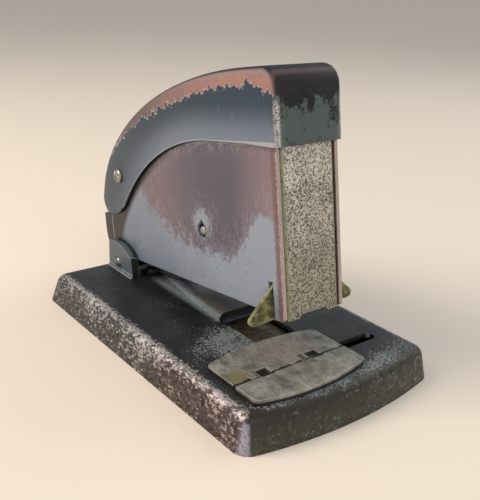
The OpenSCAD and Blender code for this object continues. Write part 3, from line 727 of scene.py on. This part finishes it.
@dataclass(frozen=True)
class PittedNickel:
    """Dull nickel plate over steel, pitted black all over, with yellow-green rubbed side edges.

    The pits are 0.3 to 0.5 mm wide and join into a dense mottle. Sizes are in millimetres.
    """

    light: str = "#f0e5d4"
    mid: str = "#ddd1be"
    green: str = "#b9b29a"
    pit: str = "#413d33"
    deep: str = "#1f1d18"
    edge: str = "#8f9468"
    crevice_shade: str = "#1c1915"
    grain: float = 0.42
    hole: float = 0.55
    cloud: float = 5.0
    clean_from: float = 6.5
    crevice_shade_from: float = 7.2

    def build(self) -> bpy.types.Material:
        """Builds the material.

        Returns:
            The material.
        """
        material, n = new_material("nickel_plate_pitted")
        place = HEAD.place(n)
        _, y, w = n("SeparateXYZ", place).outputs
        grain = n("TexNoise", place, 1 / self.grain, 5.0, 0.72)
        holes = n("TexNoise", place, 1 / self.hole, 5.0, 0.7)
        wide = n("TexNoise", place, 1 / self.cloud, 4.0, 0.6)
        # the plate is drawn lighter toward its top, in clouds: a painted highlight
        high = n("MapRange", w, 2.0, 30.0, 0.0, 1.0)
        base = n("Mix", high, self.green, self.mid, data_type="RGBA")
        top_highlight = n("MapRange", n("Math", wide, high, operation="MULTIPLY"), 0.2, 0.6, 0.0, 0.9)
        base = n("Mix", top_highlight, base, self.light, data_type="RGBA")
        level = n("Math", grain, n("MapRange", wide, 0.3, 0.7, 0.025, -0.025), operation="ADD")
        pits = n("MapRange", level, 0.485, 0.54, 0.0, 0.85)
        off = n("Math", y, operation="ABSOLUTE")
        clean = n("MapRange", off, self.clean_from, self.clean_from + 0.4, 0.0, 1.0)
        pits = n("Math", pits, n("Math", clean, -0.8, 1.0, operation="MULTIPLY_ADD"), operation="MULTIPLY")
        colour = n("Mix", clean, base, self.edge, data_type="RGBA")
        colour = n("Mix", pits, colour, self.pit, data_type="RGBA")
        deep = n("MapRange", holes, 0.57, 0.62, 0.0, 0.8)
        colour = n("Mix", deep, colour, self.deep, data_type="RGBA")
        # painted shade in the narrow gap between the plate's sides and the shell
        crevice_shade = n("MapRange", off, self.crevice_shade_from, self.crevice_shade_from + 0.2, 0.0, 0.95)
        colour = n("Mix", crevice_shade, colour, self.crevice_shade, data_type="RGBA")
        whole = n("Math", 1.0, pits, operation="SUBTRACT")
        metal = n("Math", whole, 0.3, operation="MULTIPLY")
        coated(n, colour, metal, n("Mix", pits, 0.42, 0.7), whole, 0.03, 0.3)
        return material


@dataclass(frozen=True)
class OlivePassivate:
    """Steel sheet with an old yellow-olive zinc passivate, blotched, with bright sheared edges."""

    light: str = "#918b58"
    dark: str = "#565434"
    rim: str = "#c8c29c"
    blot: float = 1.6

    def build(self) -> bpy.types.Material:
        """Builds the material.

        Returns:
            The material.
        """
        material, n = new_material("zinc_passivate_olive")
        blot = n("TexNoise", row_place(n), 1 / self.blot, 5.0, 0.6)
        shade = n("MapRange", blot, 0.44, 0.56, 0.0, 1.0)
        colour = n("Mix", shade, self.light, self.dark, data_type="RGBA")
        colour = n("Mix", worn_edge(n, 0.3, 0.03, 0.16), colour, self.rim, data_type="RGBA")
        coated(n, colour, 0.2, n("MapRange", blot, 0.3, 0.7, 0.45, 0.65), blot, 0.02)
        return material


@dataclass(frozen=True)
class BracketEnamel:
    """Thin grey-blue enamel on the hinge bracket, rubbed bright along its edges, with a painted shade on the
    faces that look ahead.
    """

    enamel: str = "#5d676f"
    dark: str = "#444c53"
    front_face_shade: str = "#26271f"
    rim: str = "#bfc6ca"
    speck: float = 0.8

    def build(self) -> bpy.types.Material:
        """Builds the material.

        Returns:
            The material.
        """
        material, n = new_material("enamel_grey_blue")
        fine = n("TexNoise", row_place(n), 1 / self.speck, 4.0, 0.6)
        shade = n("MapRange", fine, 0.4, 0.7, 0.0, 0.8)
        colour = n("Mix", shade, self.enamel, self.dark, data_type="RGBA")
        # painted shade: the faces that look ahead are drawn dark olive
        ahead = n("MapRange", facing(n, (1, 0, 0)), 0.75, 0.92, 0.0, 1.0)
        colour = n("Mix", ahead, colour, self.front_face_shade, data_type="RGBA")
        rim = n("Math", worn_edge(n, 0.3, 0.03, 0.16), 0.75, operation="MULTIPLY")
        colour = n("Mix", rim, colour, self.rim, data_type="RGBA")
        coated(n, colour, 0.0, 0.4, fine, 0.01, 0.3)
        return material


@dataclass(frozen=True)
class BlackJapan:
    """Black japan, baked on the pressed base, rubbed off along the sides and in front of the anvil.

    Where the hand and desk have rubbed it, speckled bare steel shows, pinkish toward the front corner.
    The speckle is 0.3 to 1 mm wide. Sizes are in millimetres of the row frame.
    """

    japan: str = "#191a1b"
    sheen: str = "#2b2d2e"
    brown: str = "#2b2320"
    flank_wear_and_sheen: str = "#8d979c"
    crest: str = "#686765"
    crest_speck: str = "#2c2c2a"
    steel: str = "#4c4b49"
    pale: str = "#c2c2bd"
    pit: str = "#1b1917"
    bronze: str = "#574645"
    bronze_pale: str = "#bfb0ab"
    umber: str = "#291f15"
    olive: str = "#35362a"
    fleck: str = "#85846f"
    front_pit: str = "#1b1712"
    corner: str = "#c3bccb"
    slate: str = "#8a928f"
    front_x: float = 46.25
    half_w: float = 28.0
    bow: float = 3.5
    rub_centre: Point = (17.0, -9.0, 8.0)
    rub_radii: Point = (12.0, 14.0, 0.0)
    speck: float = 0.45
    flake: float = 1.3
    cloud: float = 7.0

    def front_distance(self, n: Add, x: bpy.types.NodeSocket, y: bpy.types.NodeSocket) -> bpy.types.Node:
        """Adds the distance in from the bowed front edge.

        Args:
            n: The function that adds nodes.
            x: The point's place along the base.
            y: Its place across the base.

        Returns:
            The node with the distance, in millimetres.
        """
        share = n("Math", y, self.half_w, operation="DIVIDE")
        bow = n("Math", n("Math", share, share, operation="MULTIPLY"), self.bow, operation="MULTIPLY")
        return n("Math", n("Math", self.front_x, bow, operation="SUBTRACT"), x, operation="SUBTRACT")

    def rubbed_top(self, n: Add, place: bpy.types.Node, front_in: bpy.types.Node, off: bpy.types.Node,
                   fine: bpy.types.Node, wide: bpy.types.Node) -> bpy.types.Node:
        """Adds the top's colour, with a speckled slate rub in front of the anvil and behind it.

        Args:
            n: The function that adds nodes.
            place: The surface point.
            front_in: Its distance in from the front edge.
            off: Its distance from the middle.
            fine: The specks.
            wide: The clouds.

        Returns:
            The node with the colour.
        """
        shine = n("MapRange", wide, 0.4, 0.7, 0.0, 0.7)
        top = n("Mix", shine, self.japan, self.sheen, data_type="RGBA")
        brown = n("MapRange", front_in, 16.0, 4.0, 0.0, 0.6)
        top = n("Mix", brown, top, self.brown, data_type="RGBA")
        ahead = n("Math", n("Math", front_in, -5.0, operation="ADD"), operation="ABSOLUTE")
        ahead = n("MapRange", ahead, 5.5, 0.8, 0.0, 1.0)
        ahead = n("Math", ahead, n("MapRange", off, 27.0, 19.0, 0.3, 1.0), operation="MULTIPLY")
        spot = ellipse(n, place, self.rub_centre, self.rub_radii)
        spot = n("MapRange", spot, 1.15, 0.4, 0.0, 1.0)
        rub = n("Math", ahead, spot, operation="MAXIMUM")
        level = n("MapRange", rub, 0.0, 1.0, 0.66, 0.46)
        level = n("Math", n("Math", wide, -0.3, 0.15, operation="MULTIPLY_ADD"), level, operation="ADD")
        level = n("Math", fine, level, operation="SUBTRACT")
        rub = n("MapRange", level, -0.01, 0.03, 0.0, 0.9)
        return n("Mix", rub, top, self.slate, data_type="RGBA")

    def ridge(self, n: Add, top: bpy.types.Node, point: tuple, off: bpy.types.Node, fine: bpy.types.Node,
              mid: bpy.types.Node) -> bpy.types.Node:
        """Adds the ridge's colour: grey on its flanks, partly rubbed and partly a painted sheen, darker along
        its crest.

        Args:
            n: The function that adds nodes.
            top: The colour so far.
            point: The sockets with the point's x, y and z.
            off: Its distance from the middle.
            fine: The specks.
            mid: The flakes.

        Returns:
            The node with the new colour.
        """
        x, _, z = point
        ridge = n("MapRange", off, 7.9, 5.4, 0.0, 1.0, interpolation_type="SMOOTHSTEP")
        ridge = n("Math", ridge, n("MapRange", x, -27.0, -20.0, 0.0, 1.0), operation="MULTIPLY")
        ridge = n("Math", ridge, n("MapRange", x, 5.6, 5.2, 0.0, 1.0), operation="MULTIPLY")
        ridge = n("Math", ridge, n("MapRange", mid, 0.35, 0.6, 0.7, 1.0), operation="MULTIPLY")
        # the flanks' light grey is partly rubbing and partly a painted sheen
        crest = n("Mix", n("MapRange", z, 8.6, 9.5, 0.0, 1.0), self.flank_wear_and_sheen, self.crest, data_type="RGBA")
        specks = n("MapRange", fine, 0.5, 0.58, 0.0, 0.5)
        crest = n("Mix", specks, crest, self.crest_speck, data_type="RGBA")
        return n("Mix", ridge, top, crest, data_type="RGBA")

    def side_wall(self, n: Add, point: tuple, flake: bpy.types.Node, mid: bpy.types.Node) -> bpy.types.Node:
        """Adds the side walls' colour: flaked and pitted steel, pinkish toward the front.

        Args:
            n: The function that adds nodes.
            point: The sockets with the point's x, y and z.
            flake: The flaking.
            mid: The pits.

        Returns:
            The node with the colour.
        """
        x, _, z = point
        fore = n("MapRange", x, -8.0, 24.0, 0.0, 1.0)
        ground = n("Mix", fore, self.steel, self.bronze, data_type="RGBA")
        bits = n("Mix", fore, self.pale, self.bronze_pale, data_type="RGBA")
        pits = n("MapRange", mid, 0.5, 0.58, 0.0, 0.8)
        ground = n("Mix", pits, ground, self.pit, data_type="RGBA")
        shed = n("Math", flake, n("MapRange", z, 1.0, 6.5, 0.0, 0.05), operation="ADD")
        return n("Mix", n("MapRange", shed, 0.56, 0.61, 0.0, 0.85), ground, bits, data_type="RGBA")

    def front_wall(self, n: Add, point: tuple, flake: bpy.types.Node, mid: bpy.types.Node) -> bpy.types.Node:
        """Adds the front wall's colour: dark brown, greenish and flecked toward the foot and the left.

        Args:
            n: The function that adds nodes.
            point: The sockets with the point's x, y and z.
            flake: The flaking.
            mid: The pits.

        Returns:
            The node with the colour.
        """
        _, y, z = point
        foot = n("MapRange", z, 6.5, 1.5, 0.0, 1.0)
        foot = n("Math", foot, n("MapRange", y, -20.0, 8.0, 0.0, 0.8), operation="MAXIMUM")
        front = n("Mix", foot, self.umber, self.olive, data_type="RGBA")
        dust = n("Math", n("MapRange", foot, 0.0, 1.0, -0.08, 0.0), flake, operation="ADD")
        dust = n("MapRange", dust, 0.545, 0.6, 0.0, 0.6)
        front = n("Mix", dust, front, self.fleck, data_type="RGBA")
        pits = n("MapRange", mid, 0.54, 0.62, 0.0, 0.6)
        return n("Mix", pits, front, self.front_pit, data_type="RGBA")

    def build(self) -> bpy.types.Material:
        """Builds the material.

        Returns:
            The material.
        """
        material, n = new_material("black_japan_worn")
        place = row_place(n)
        point = tuple(n("SeparateXYZ", place).outputs)
        x, y, _ = point
        fine = n("TexNoise", place, 1 / self.speck, 5.0, 0.65)
        mid = n("TexNoise", place, 1 / self.flake, 5.0, 0.65)
        wide = n("TexNoise", place, 1 / self.cloud, 4.0, 0.55)
        slim = n("Mapping", place, (0, 0, 0), (0, 0, 0), (0.9, 0.9, 1.5))
        slim = n("TexNoise", slim, 1.0, 7.0, 0.75)
        flake = n("Math", slim, n("MapRange", wide, 0.35, 0.65, -0.05, 0.05), operation="ADD")
        off = n("Math", y, operation="ABSOLUTE")
        side_in = n("Math", self.half_w, off, operation="SUBTRACT")
        front_in = self.front_distance(n, x, y)
        top = self.rubbed_top(n, place, front_in, off, fine, wide)
        top = self.ridge(n, top, point, off, fine, mid)

        # the rubbing climbs over the rolled side edge and ends in a bright line, partly bare steel and partly a
        # painted highlight on the roll
        climb = n("Math", n("Math", slim, 0.5, operation="SUBTRACT"), 7.0, operation="MULTIPLY")
        side_edge = n("Math", side_in, climb, operation="ADD")
        bare_side = n("MapRange", side_edge, 3.7, 3.4, 0.0, 1.0)
        glint = n("Math", n("Math", side_edge, -2.9, operation="ADD"), operation="ABSOLUTE")
        glint = n("MapRange", glint, 1.0, 0.3, 0.0, 1.0)
        glint = n("Math", glint, n("MapRange", fine, 0.46, 0.54, 0.1, 1.0), operation="MULTIPLY")
        glint = n("Math", glint, 0.85, operation="MULTIPLY")
        colour = n("Mix", bare_side, top, self.side_wall(n, point, flake, mid), data_type="RGBA")
        colour = n("Mix", glint, colour, self.pale, data_type="RGBA")

        # front wall and its rolled lip
        face = n("SeparateXYZ", n("TexCoord").outputs["Normal"]).outputs
        front_edge = n("Math", front_in, climb, operation="ADD")
        bare_front = n("MapRange", front_edge, 3.4, 3.0, 0.0, 1.0)
        lip = n("Math", bare_front, n("MapRange", face[1], -0.75, -0.45, 0.0, 1.0), operation="MULTIPLY")
        lip = n("Math", lip, n("MapRange", face[0], 0.35, 0.6, 0.0, 1.0), operation="MAXIMUM")
        colour = n("Mix", lip, colour, self.front_wall(n, point, flake, mid), data_type="RGBA")

        # painted highlight on the corner between the right side and the front
        corner = n("MapRange", facing(n, (0.6, -0.78, 0.15)), 0.9, 0.985, 0.0, 0.7)
        corner = n("Math", corner, n("MapRange", fine, 0.4, 0.52, 0.45, 1.0), operation="MULTIPLY")
        colour = n("Mix", corner, colour, self.corner, data_type="RGBA")

        bare = n("Math", bare_side, n("Math", 1.0, lip, operation="SUBTRACT"), operation="MULTIPLY")
        rough = n("Mix", bare, n("MapRange", mid, 0.3, 0.7, 0.3, 0.5), 0.45)
        relief = n("Math", n("Math", bare, -1.0, 1.0, operation="MULTIPLY_ADD"), slim, operation="ADD")
        coated(n, colour, n("Math", bare, 0.5, operation="MULTIPLY"), rough, relief, 0.03, 0.3)
        return material


@dataclass(frozen=True)
class AnvilNickel:
    """Old nickel plate on the anvil, olive-grey, rubbed pinkish in the middle and bright on its edges.

    Its buffing lines are 2 mm long and drawn 0.3 mm wide so that they show. Sizes are in millimetres of
    the row frame.
    """

    light: str = "#b6b4a8"
    dark: str = "#737166"
    blush: str = "#b3a49b"
    brass: str = "#8c8350"
    line: str = "#55544a"
    speck: str = "#35342c"
    plate_gap_shade: str = "#1b1a15"
    groove_shade: str = "#11110e"
    rim: str = "#dcd9c3"
    groove_z: float = 8.85
    split_x: float = 32.5
    blush_centre: Point = (26.5, -4.5, 9.0)
    blush_radii: Point = (6.0, 9.0, 0.0)
    brass_centre: Point = (30.2, -19.4, 9.0)
    brass_radii: Point = (3.2, 2.2, 0.0)
    cloud: float = 4.0
    speck_size: float = 0.35

    def build(self) -> bpy.types.Material:
        """Builds the material.

        Returns:
            The material.
        """
        material, n = new_material("nickel_plate_dull")
        place = row_place(n)
        x, _, height = n("SeparateXYZ", place).outputs
        lines = n("Mapping", place, (0, 0, 0), (0, 0, 0.35), (0.5, 3.0, 1.0))
        lines = n("TexNoise", lines, 1.0, 4.0, 0.6)
        wide = n("TexNoise", place, 1 / self.cloud, 4.0, 0.6)
        fine = n("TexNoise", place, 1 / self.speck_size, 3.0, 0.6)
        shade = n("MapRange", wide, 0.36, 0.64, 0.0, 1.0)
        blush = n("MapRange", ellipse(n, place, self.blush_centre, self.blush_radii), 1.1, 0.3, 0.0, 0.8)
        brass = n("MapRange", ellipse(n, place, self.brass_centre, self.brass_radii), 1.15, 0.8, 0.0, 0.8)
        # painted shade along the gap between the two plates, which the step hides
        plate_gap_shade = n("Math", n("Math", x, self.split_x, operation="SUBTRACT"), operation="ABSOLUTE")
        plate_gap_shade = n("Math", n("MapRange", wide, 0.35, 0.65, -0.2, 0.5), plate_gap_shade, operation="SUBTRACT")
        # painted shade in the clinch grooves, below the groove depth
        groove_shade = n("MapRange", height, self.groove_z, self.groove_z - 0.15, 0.0, 0.97)
        layers = [
            (blush, self.blush),
            (n("MapRange", lines, 0.5, 0.62, 0.0, 0.5), self.line),
            (n("MapRange", fine, 0.56, 0.64, 0.0, 0.6), self.speck),
            (brass, self.brass),
            (n("Math", worn_edge(n, 0.3, 0.03, 0.18), 0.85, operation="MULTIPLY"), self.rim),
            (n("MapRange", plate_gap_shade, -0.35, -0.15, 0.0, 0.9), self.plate_gap_shade),
            (groove_shade, self.groove_shade),
        ]
        colour = n("Mix", shade, self.light, self.dark, data_type="RGBA")
        for mask, tint in layers:
            colour = n("Mix", mask, colour, tint, data_type="RGBA")
        metal = n("Math", groove_shade, -0.4, 0.4, operation="MULTIPLY_ADD")
        coated(n, colour, metal, n("MapRange", wide, 0.3, 0.7, 0.36, 0.5), fine, 0.02, 0.3)
        return material


def soft_shading() -> bpy.types.NodeTree:
    """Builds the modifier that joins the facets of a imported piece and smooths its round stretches.

    Returns:
        The geometry node group.
    """
    group = bpy.data.node_groups.new("smooth_round_stretches", "GeometryNodeTree")
    group.interface.new_socket("Geometry", in_out="INPUT", socket_type="NodeSocketGeometry")
    group.interface.new_socket("Geometry", in_out="OUTPUT", socket_type="NodeSocketGeometry")
    nodes, link = group.nodes, group.links.new
    start = nodes.new("NodeGroupInput")
    plain = nodes.new("GeometryNodeRemoveAttribute")
    plain.inputs["Name"].default_value = "custom_normal"
    weld = nodes.new("GeometryNodeMergeByDistance")
    weld.inputs["Distance"].default_value = WELD
    faces = nodes.new("GeometryNodeSetShadeSmooth")
    edges = nodes.new("GeometryNodeSetShadeSmooth")
    edges.domain = "EDGE"
    angle = nodes.new("GeometryNodeInputMeshEdgeAngle")
    gentle = nodes.new("FunctionNodeCompare")
    gentle.operation = "LESS_THAN"
    gentle.inputs[1].default_value = SHARP_PACKED
    end = nodes.new("NodeGroupOutput")
    link(start.outputs[0], plain.inputs["Geometry"])
    link(plain.outputs[0], weld.inputs["Geometry"])
    link(weld.outputs[0], faces.inputs["Geometry"])
    link(faces.outputs[0], edges.inputs["Geometry"])
    link(angle.outputs["Unsigned Angle"], gentle.inputs[0])
    link(gentle.outputs[0], edges.inputs["Shade Smooth"])
    link(edges.outputs[0], end.inputs[0])
    return group


@dataclass(frozen=True)
class Stock:
    """What the sub-assemblies share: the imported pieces, their smoothing and the common finishes."""

    nodes: dict[str, bpy.types.Object]
    smoothing: bpy.types.NodeTree
    rivet: bpy.types.Material
    spring: bpy.types.Material
    bright: bpy.types.Material

    def dress(self, finishes: dict[str, bpy.types.Material]) -> None:
        """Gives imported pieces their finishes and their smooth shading.

        Args:
            finishes: The finish of each piece, by the piece's name.
        """
        for name, material in finishes.items():
            node = self.nodes[name]
            node.data.materials.clear()
            node.data.materials.append(material)
            node.modifiers.new("smooth", "NODES").node_group = self.smoothing
            LOG.info("dressed %s in %s", name, material.name)


def new_piece(name: str, points: list, faces: list, material: bpy.types.Material, body: str) -> bpy.types.Object:
    """Makes an added piece that rides on a body.

    Args:
        name: The piece's name.
        points: Its corners in the row frame, in metres.
        faces: Its faces, as lists of corner numbers.
        material: Its finish.
        body: The body that it moves with.

    Returns:
        The piece.
    """
    mesh = bpy.data.meshes.new(name)
    mesh.from_pydata([tuple(p) for p in points], [], faces)
    mesh.validate()
    mesh.update()
    mesh.shade_smooth()
    mesh.set_sharp_from_angle(angle=SHARP_ADDED)
    mesh.materials.append(material)
    piece = bpy.data.objects.new(name, mesh)
    bpy.context.scene.collection.objects.link(piece)
    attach(piece, body)
    LOG.info("added %s: %d corners, %d faces", name, len(points), len(faces))
    return piece


def skin(rings: list[list[Vector]], closed: bool) -> tuple[list[Vector], list[list[int]]]:
    """Joins rings of points into a skin.

    Args:
        rings: Rings with the same number of points, each round a closed outline.
        closed: Whether the last ring joins the first. If not, both get a face.

    Returns:
        The points and the faces.
    """
    count = len(rings[0])
    points = [p for ring in rings for p in ring]
    faces = []
    for i in range(len(rings) if closed else len(rings) - 1):
        a, b = i * count, (i + 1) % len(rings) * count
        for k in range(count):
            k2 = (k + 1) % count
            faces.append([a + k, a + k2, b + k2, b + k])
    if not closed:
        faces.append(list(range(count))[::-1])
        faces.append([(len(rings) - 1) * count + k for k in range(count)])
    return points, faces


@dataclass(frozen=True)
class Base:
    """The pressed base with its hinge bracket, in millimetres of the row frame."""

    ear_x0: float = -41.15
    ear_len: float = 13.0
    ear_y: float = 11.0
    top: float = 8.0
    foot_h: float = 0.9
    foot_w: float = 0.7
    foot_steps: int = 6
    foot_gap: float = 0.1
    sunk: float = 0.05
    lift: float = 0.02
    ring_r: float = 1.95
    ring_section: float = 0.28
    ring_flat: float = 0.5
    ring_steps: int = 40
    section_steps: int = 10

    def dress(self, stock: Stock) -> None:
        """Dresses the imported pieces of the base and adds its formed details.

        Args:
            stock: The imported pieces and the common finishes.
        """
        enamel = BracketEnamel().build()
        stock.dress({
            "base_shell": BlackJapan().build(),
            "bottom_plate": DullSteel("black_paint_on_sheet", "#2a2a2a", "#1e1e1e", rim="#3a3a3a",
                                      rough_add=0.2).build(),
            "hinge_bracket": enamel,
            "bracket_rivets": stock.rivet,
            "hinge_pin": DullSteel("nickel_plated_pin", "#a3a29a", "#72726b", Process.PLATED,
                                   tarnish=0.2).build(),
            "hinge_spacers": DullSteel("steel_sheet_dark", "#4b504d", "#343835", rim="#8d938f").build(),
            "head_lift_spring": stock.spring,
            "anvil_guide": DullSteel("steel_sheet_olive", "#6d6852", "#47452f", rim="#8b866c").build(),
        })
        for shape, detail in ((self.foot, "foot"), (self.ring, "ring")):
            for side, hand in ((-1, "right"), (1, "left")):
                points, faces = shape(side)
                new_piece(f"ear_{detail}_{hand}", points, faces, enamel, "base")

    def foot(self, side: int) -> tuple[list[Vector], list[list[int]]]:
        """Shapes the flared foot where an ear meets the base's top.

        Args:
            side: -1 for the right ear, 1 for the left.

        Returns:
            The points and the faces.
        """
        curve = [(self.ear_y - self.sunk, self.lift), (self.ear_y + self.foot_w, self.lift)]
        for i in range(self.foot_steps + 1):
            a = math.radians(90 * i / self.foot_steps)
            curve.append((self.ear_y + self.foot_w * (1 - math.sin(a)),
                          self.lift + self.foot_h * (1 - math.cos(a))))
        curve.append((self.ear_y - self.sunk, self.lift + self.foot_h))
        ends = (self.ear_x0 + self.foot_gap, self.ear_x0 + self.ear_len)
        rings = [[Vector((x, side * y, self.top + z)) * MM for y, z in curve] for x in ends]
        return skin(rings, closed=False)

    def ring(self, side: int) -> tuple[list[Vector], list[list[int]]]:
        """Shapes the raised ring pressed into an ear round the pin.

        Args:
            side: -1 for the right ear, 1 for the left.

        Returns:
            The points and the faces.
        """
        rings = []
        for i in range(self.ring_steps):
            a = 2 * math.pi * i / self.ring_steps
            ring = []
            for k in range(self.section_steps):
                b = 2 * math.pi * k / self.section_steps
                r = self.ring_r + self.ring_section * math.cos(b)
                y = self.ear_y + self.ring_flat * self.ring_section * math.sin(b)
                ring.append(Vector((HEAD.hinge_x + r * math.cos(a), side * y,
                                    HEAD.hinge_z + r * math.sin(a))) * MM)
            rings.append(ring)
        return skin(rings, closed=True)


@dataclass(frozen=True)
class Anvil:
    """The sliding anvil, in millimetres of the row frame.

    tongue_line runs over a tongue, as places across and up from the pocket's edge.
    """

    slot_x0: float = 29.55
    slot_w: float = 3.1
    middle_y: float = -7.0
    top: float = 9.1
    die_offset: float = 7.0
    pocket_half: float = 1.8
    tongue_t: float = 0.3
    tongue_front: float = 0.75
    tongue_rear: float = 0.05
    tongue_line: tuple[tuple[float, float], ...] = ((-1.9, 0.02), (-0.9, 0.3), (-0.1, 0.34), (1.0, -0.45))

    def dress(self, stock: Stock) -> None:
        """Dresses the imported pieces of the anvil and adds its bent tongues.

        Args:
            stock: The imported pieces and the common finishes.
        """
        stock.dress({
            "anvil": AnvilNickel().build(),
            "anvil_keeper": DullSteel("steel_strip_olive", "#5d5846", "#47452f", rim="#8b866c").build(),
            "keeper_rivets": stock.rivet,
        })
        rubbed = DullSteel("nickel_plate_rubbed", "#c3bfae", "#8e8a7a", Process.PLATED, tarnish=0.3).build()
        for side, word in ((-1, "right"), (1, "left")):
            points, faces = self.tongue(side)
            new_piece(f"anvil_lip_{word}", points, faces, rubbed, "anvil")

    def tongue(self, side: int) -> tuple[list[Vector], list[list[int]]]:
        """Shapes the bent tongue at the edge of a pocket, which guides the staple's leg.

        Args:
            side: -1 for the right pocket, 1 for the left.

        Returns:
            The points and the faces.
        """
        y = self.middle_y + side * self.die_offset - self.pocket_half
        over = [(y + across, up) for across, up in self.tongue_line]
        under = [(across, up - self.tongue_t) for across, up in reversed(over)]
        ends = (self.slot_x0 + self.tongue_front, self.slot_x0 + self.slot_w - self.tongue_rear)
        rings = [[Vector((x, across, self.top + up)) * MM for across, up in over + under] for x in ends]
        return skin(rings, closed=False)


@dataclass(frozen=True)
class Magazine:
    """The staple magazine with its nose plate, wings and follower."""

    def dress(self, stock: Stock) -> None:
        """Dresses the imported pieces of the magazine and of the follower.

        Args:
            stock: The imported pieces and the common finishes.
        """
        channel = DullSteel("nickel_plated_channel", "#8c8b80", "#63625a", Process.PLATED).build()
        stock.dress({
            "magazine_channel": channel,
            "nose_plate": PittedNickel().build(),
            "finger_wings": OlivePassivate().build(),
            "staple_stick": DullSteel("galvanised_wire", "#b9bcc0", "#9a9da0", Process.PLATED,
                                      tarnish=0.15).build(),
            "follower": channel,
            "follower_rod": DullSteel("ground_steel_rod", "#a3a5a7", "#85878a", Process.GROUND,
                                      tarnish=0.15).build(),
            "follower_spring": stock.spring,
        })


@dataclass(frozen=True)
class Head:
    """The enamelled shell with the pieces inside it."""

    def dress(self, stock: Stock) -> None:
        """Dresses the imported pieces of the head.

        Args:
            stock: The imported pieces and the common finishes.
        """
        inner = DullSteel("steel_sheet_rolled", "#55575a", "#3b3d3f").build()
        turned = DullSteel("turned_steel", "#a0a19b", "#74756f", Process.PLATED, tarnish=0.2).build()
        stock.dress({
            "head_shell": ShellEnamel().build(),
            "spring_bracket": inner,
            "spring_pin": stock.bright,
            "driver_guide": inner,
            "pivot_tube": turned,
            "cap_screw": stock.bright,
            "cap_nut": turned,
            "cap_return_spring": stock.spring,
        })


@dataclass(frozen=True)
class Cap:
    """The pressed cap with the hanger and the driver blade."""

    def dress(self, stock: Stock) -> None:
        """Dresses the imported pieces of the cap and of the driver.

        Args:
            stock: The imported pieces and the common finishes.
        """
        stock.dress({
            "cap": CapEnamel().build(),
            "driver_hanger": DullSteel("steel_hanger", "#55575a", "#3b3d3f").build(),
            "driver_blade": DullSteel("ground_steel_blade", "#9fa2a5", "#7f8285", Process.GROUND,
                                      tarnish=0.1).build(),
        })


@dataclass(frozen=True)
class Lamp:
    """A square soft lamp: where it stands and its side in metres, its power in watts, its colour."""

    name: str
    place: Point
    size: float
    power: float
    tint: str


@dataclass(frozen=True)
class Studio:
    """The pale floor, the soft light and the camera, in metres."""

    eye: Point = (0.13208, -0.10148, 0.08751)
    azimuth: float = 51.5
    elevation: float = 21.02
    roll: float = 2.344
    lens: float = 52.36
    sensor: float = 36.0
    nearest: float = 0.002
    aim: Point = (0.0, 0.0, 0.03)
    floor: str = "#fbeeda"
    floor_rough: float = 0.75
    floor_half: float = 3.0
    sky: str = "#e6e9f0"
    sky_power: float = 0.5
    lamps: tuple[Lamp, ...] = (
        Lamp("key", (-0.22, -0.42, 0.42), 0.34, 2.6, "#fff1e2"),
        Lamp("fill", (0.5, -0.12, 0.3), 0.4, 0.7, "#eef2ff"),
        Lamp("rim", (0.05, 0.45, 0.4), 0.4, 0.6, "#ffffff"),
    )

    def build_floor(self) -> None:
        """Builds the floor."""
        material, n = new_material("pale_matt_floor")
        coated(n, self.floor, 0.0, self.floor_rough)
        mesh = bpy.data.meshes.new("floor")
        half = self.floor_half
        mesh.from_pydata([(-half, -half, 0), (half, -half, 0), (half, half, 0), (-half, half, 0)], [],
                         [(0, 1, 2, 3)])
        mesh.materials.append(material)
        floor = bpy.data.objects.new("floor", mesh)
        bpy.context.scene.collection.objects.link(floor)

    def build_lamp(self, wanted: Lamp) -> None:
        """Builds a lamp that points at the stapler.

        Args:
            wanted: The lamp's place, size, power and colour.
        """
        data = bpy.data.lights.new(wanted.name, "AREA")
        data.size = wanted.size
        data.energy = wanted.power
        data.color = linear(wanted.tint)[:3]
        lamp = bpy.data.objects.new(wanted.name, data)
        lamp.location = wanted.place
        lamp.rotation_mode = "QUATERNION"
        lamp.rotation_quaternion = (Vector(self.aim) - Vector(wanted.place)).to_track_quat("-Z", "Y")
        bpy.context.scene.collection.objects.link(lamp)

    def build_light(self) -> None:
        """Builds the sky and the lamps."""
        world = bpy.data.worlds.new("studio")
        world.use_nodes = True
        world.node_tree.nodes.clear()
        add(world.node_tree, "OutputWorld", add(world.node_tree, "Background", self.sky, self.sky_power))
        bpy.context.scene.world = world
        for lamp in self.lamps:
            self.build_lamp(lamp)

    def build_camera(self) -> None:
        """Builds the camera, turned about its own axis by the roll."""
        a, e, r = (math.radians(d) for d in (self.azimuth, self.elevation, self.roll))
        back = Vector((math.sin(a) * math.cos(e), -math.cos(a) * math.cos(e), math.sin(e)))
        right = Vector((0, 0, 1)).cross(back).normalized()
        across = math.cos(r) * right + math.sin(r) * back.cross(right)
        data = bpy.data.cameras.new("camera")
        data.lens = self.lens
        data.sensor_width = self.sensor
        data.clip_start = self.nearest
        camera = bpy.data.objects.new("camera", data)
        turn = Matrix((across, back.cross(across), back)).transposed()
        camera.matrix_world = Matrix.Translation(self.eye) @ turn.to_4x4()
        bpy.context.scene.collection.objects.link(camera)
        bpy.context.scene.camera = camera


def main() -> None:
    """Builds the classes in order."""
    logging.basicConfig(level=logging.INFO, format="%(name)s: %(message)s")
    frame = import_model()
    stock = Stock(
        frame["nodes"],
        soft_shading(),
        DullSteel("steel_rivet", "#7d7f80", "#55585a").build(),
        DullSteel("spring_steel", "#8f9294", "#6c6f71", Process.GROUND, tarnish=0.15).build(),
        DullSteel("nickel_plated_steel", "#b3b1a4", "#85826f", Process.PLATED, rim="#e6e3d4",
                  tarnish=0.3).build(),
    )
    for assembly in (Base(), Anvil(), Magazine(), Head(), Cap()):
        assembly.dress(stock)
    studio = Studio()
    studio.build_floor()
    studio.build_light()
    studio.build_camera()
    bpy.context.scene.view_settings.view_transform = "Standard"


if __name__ == "__main__":
    main()
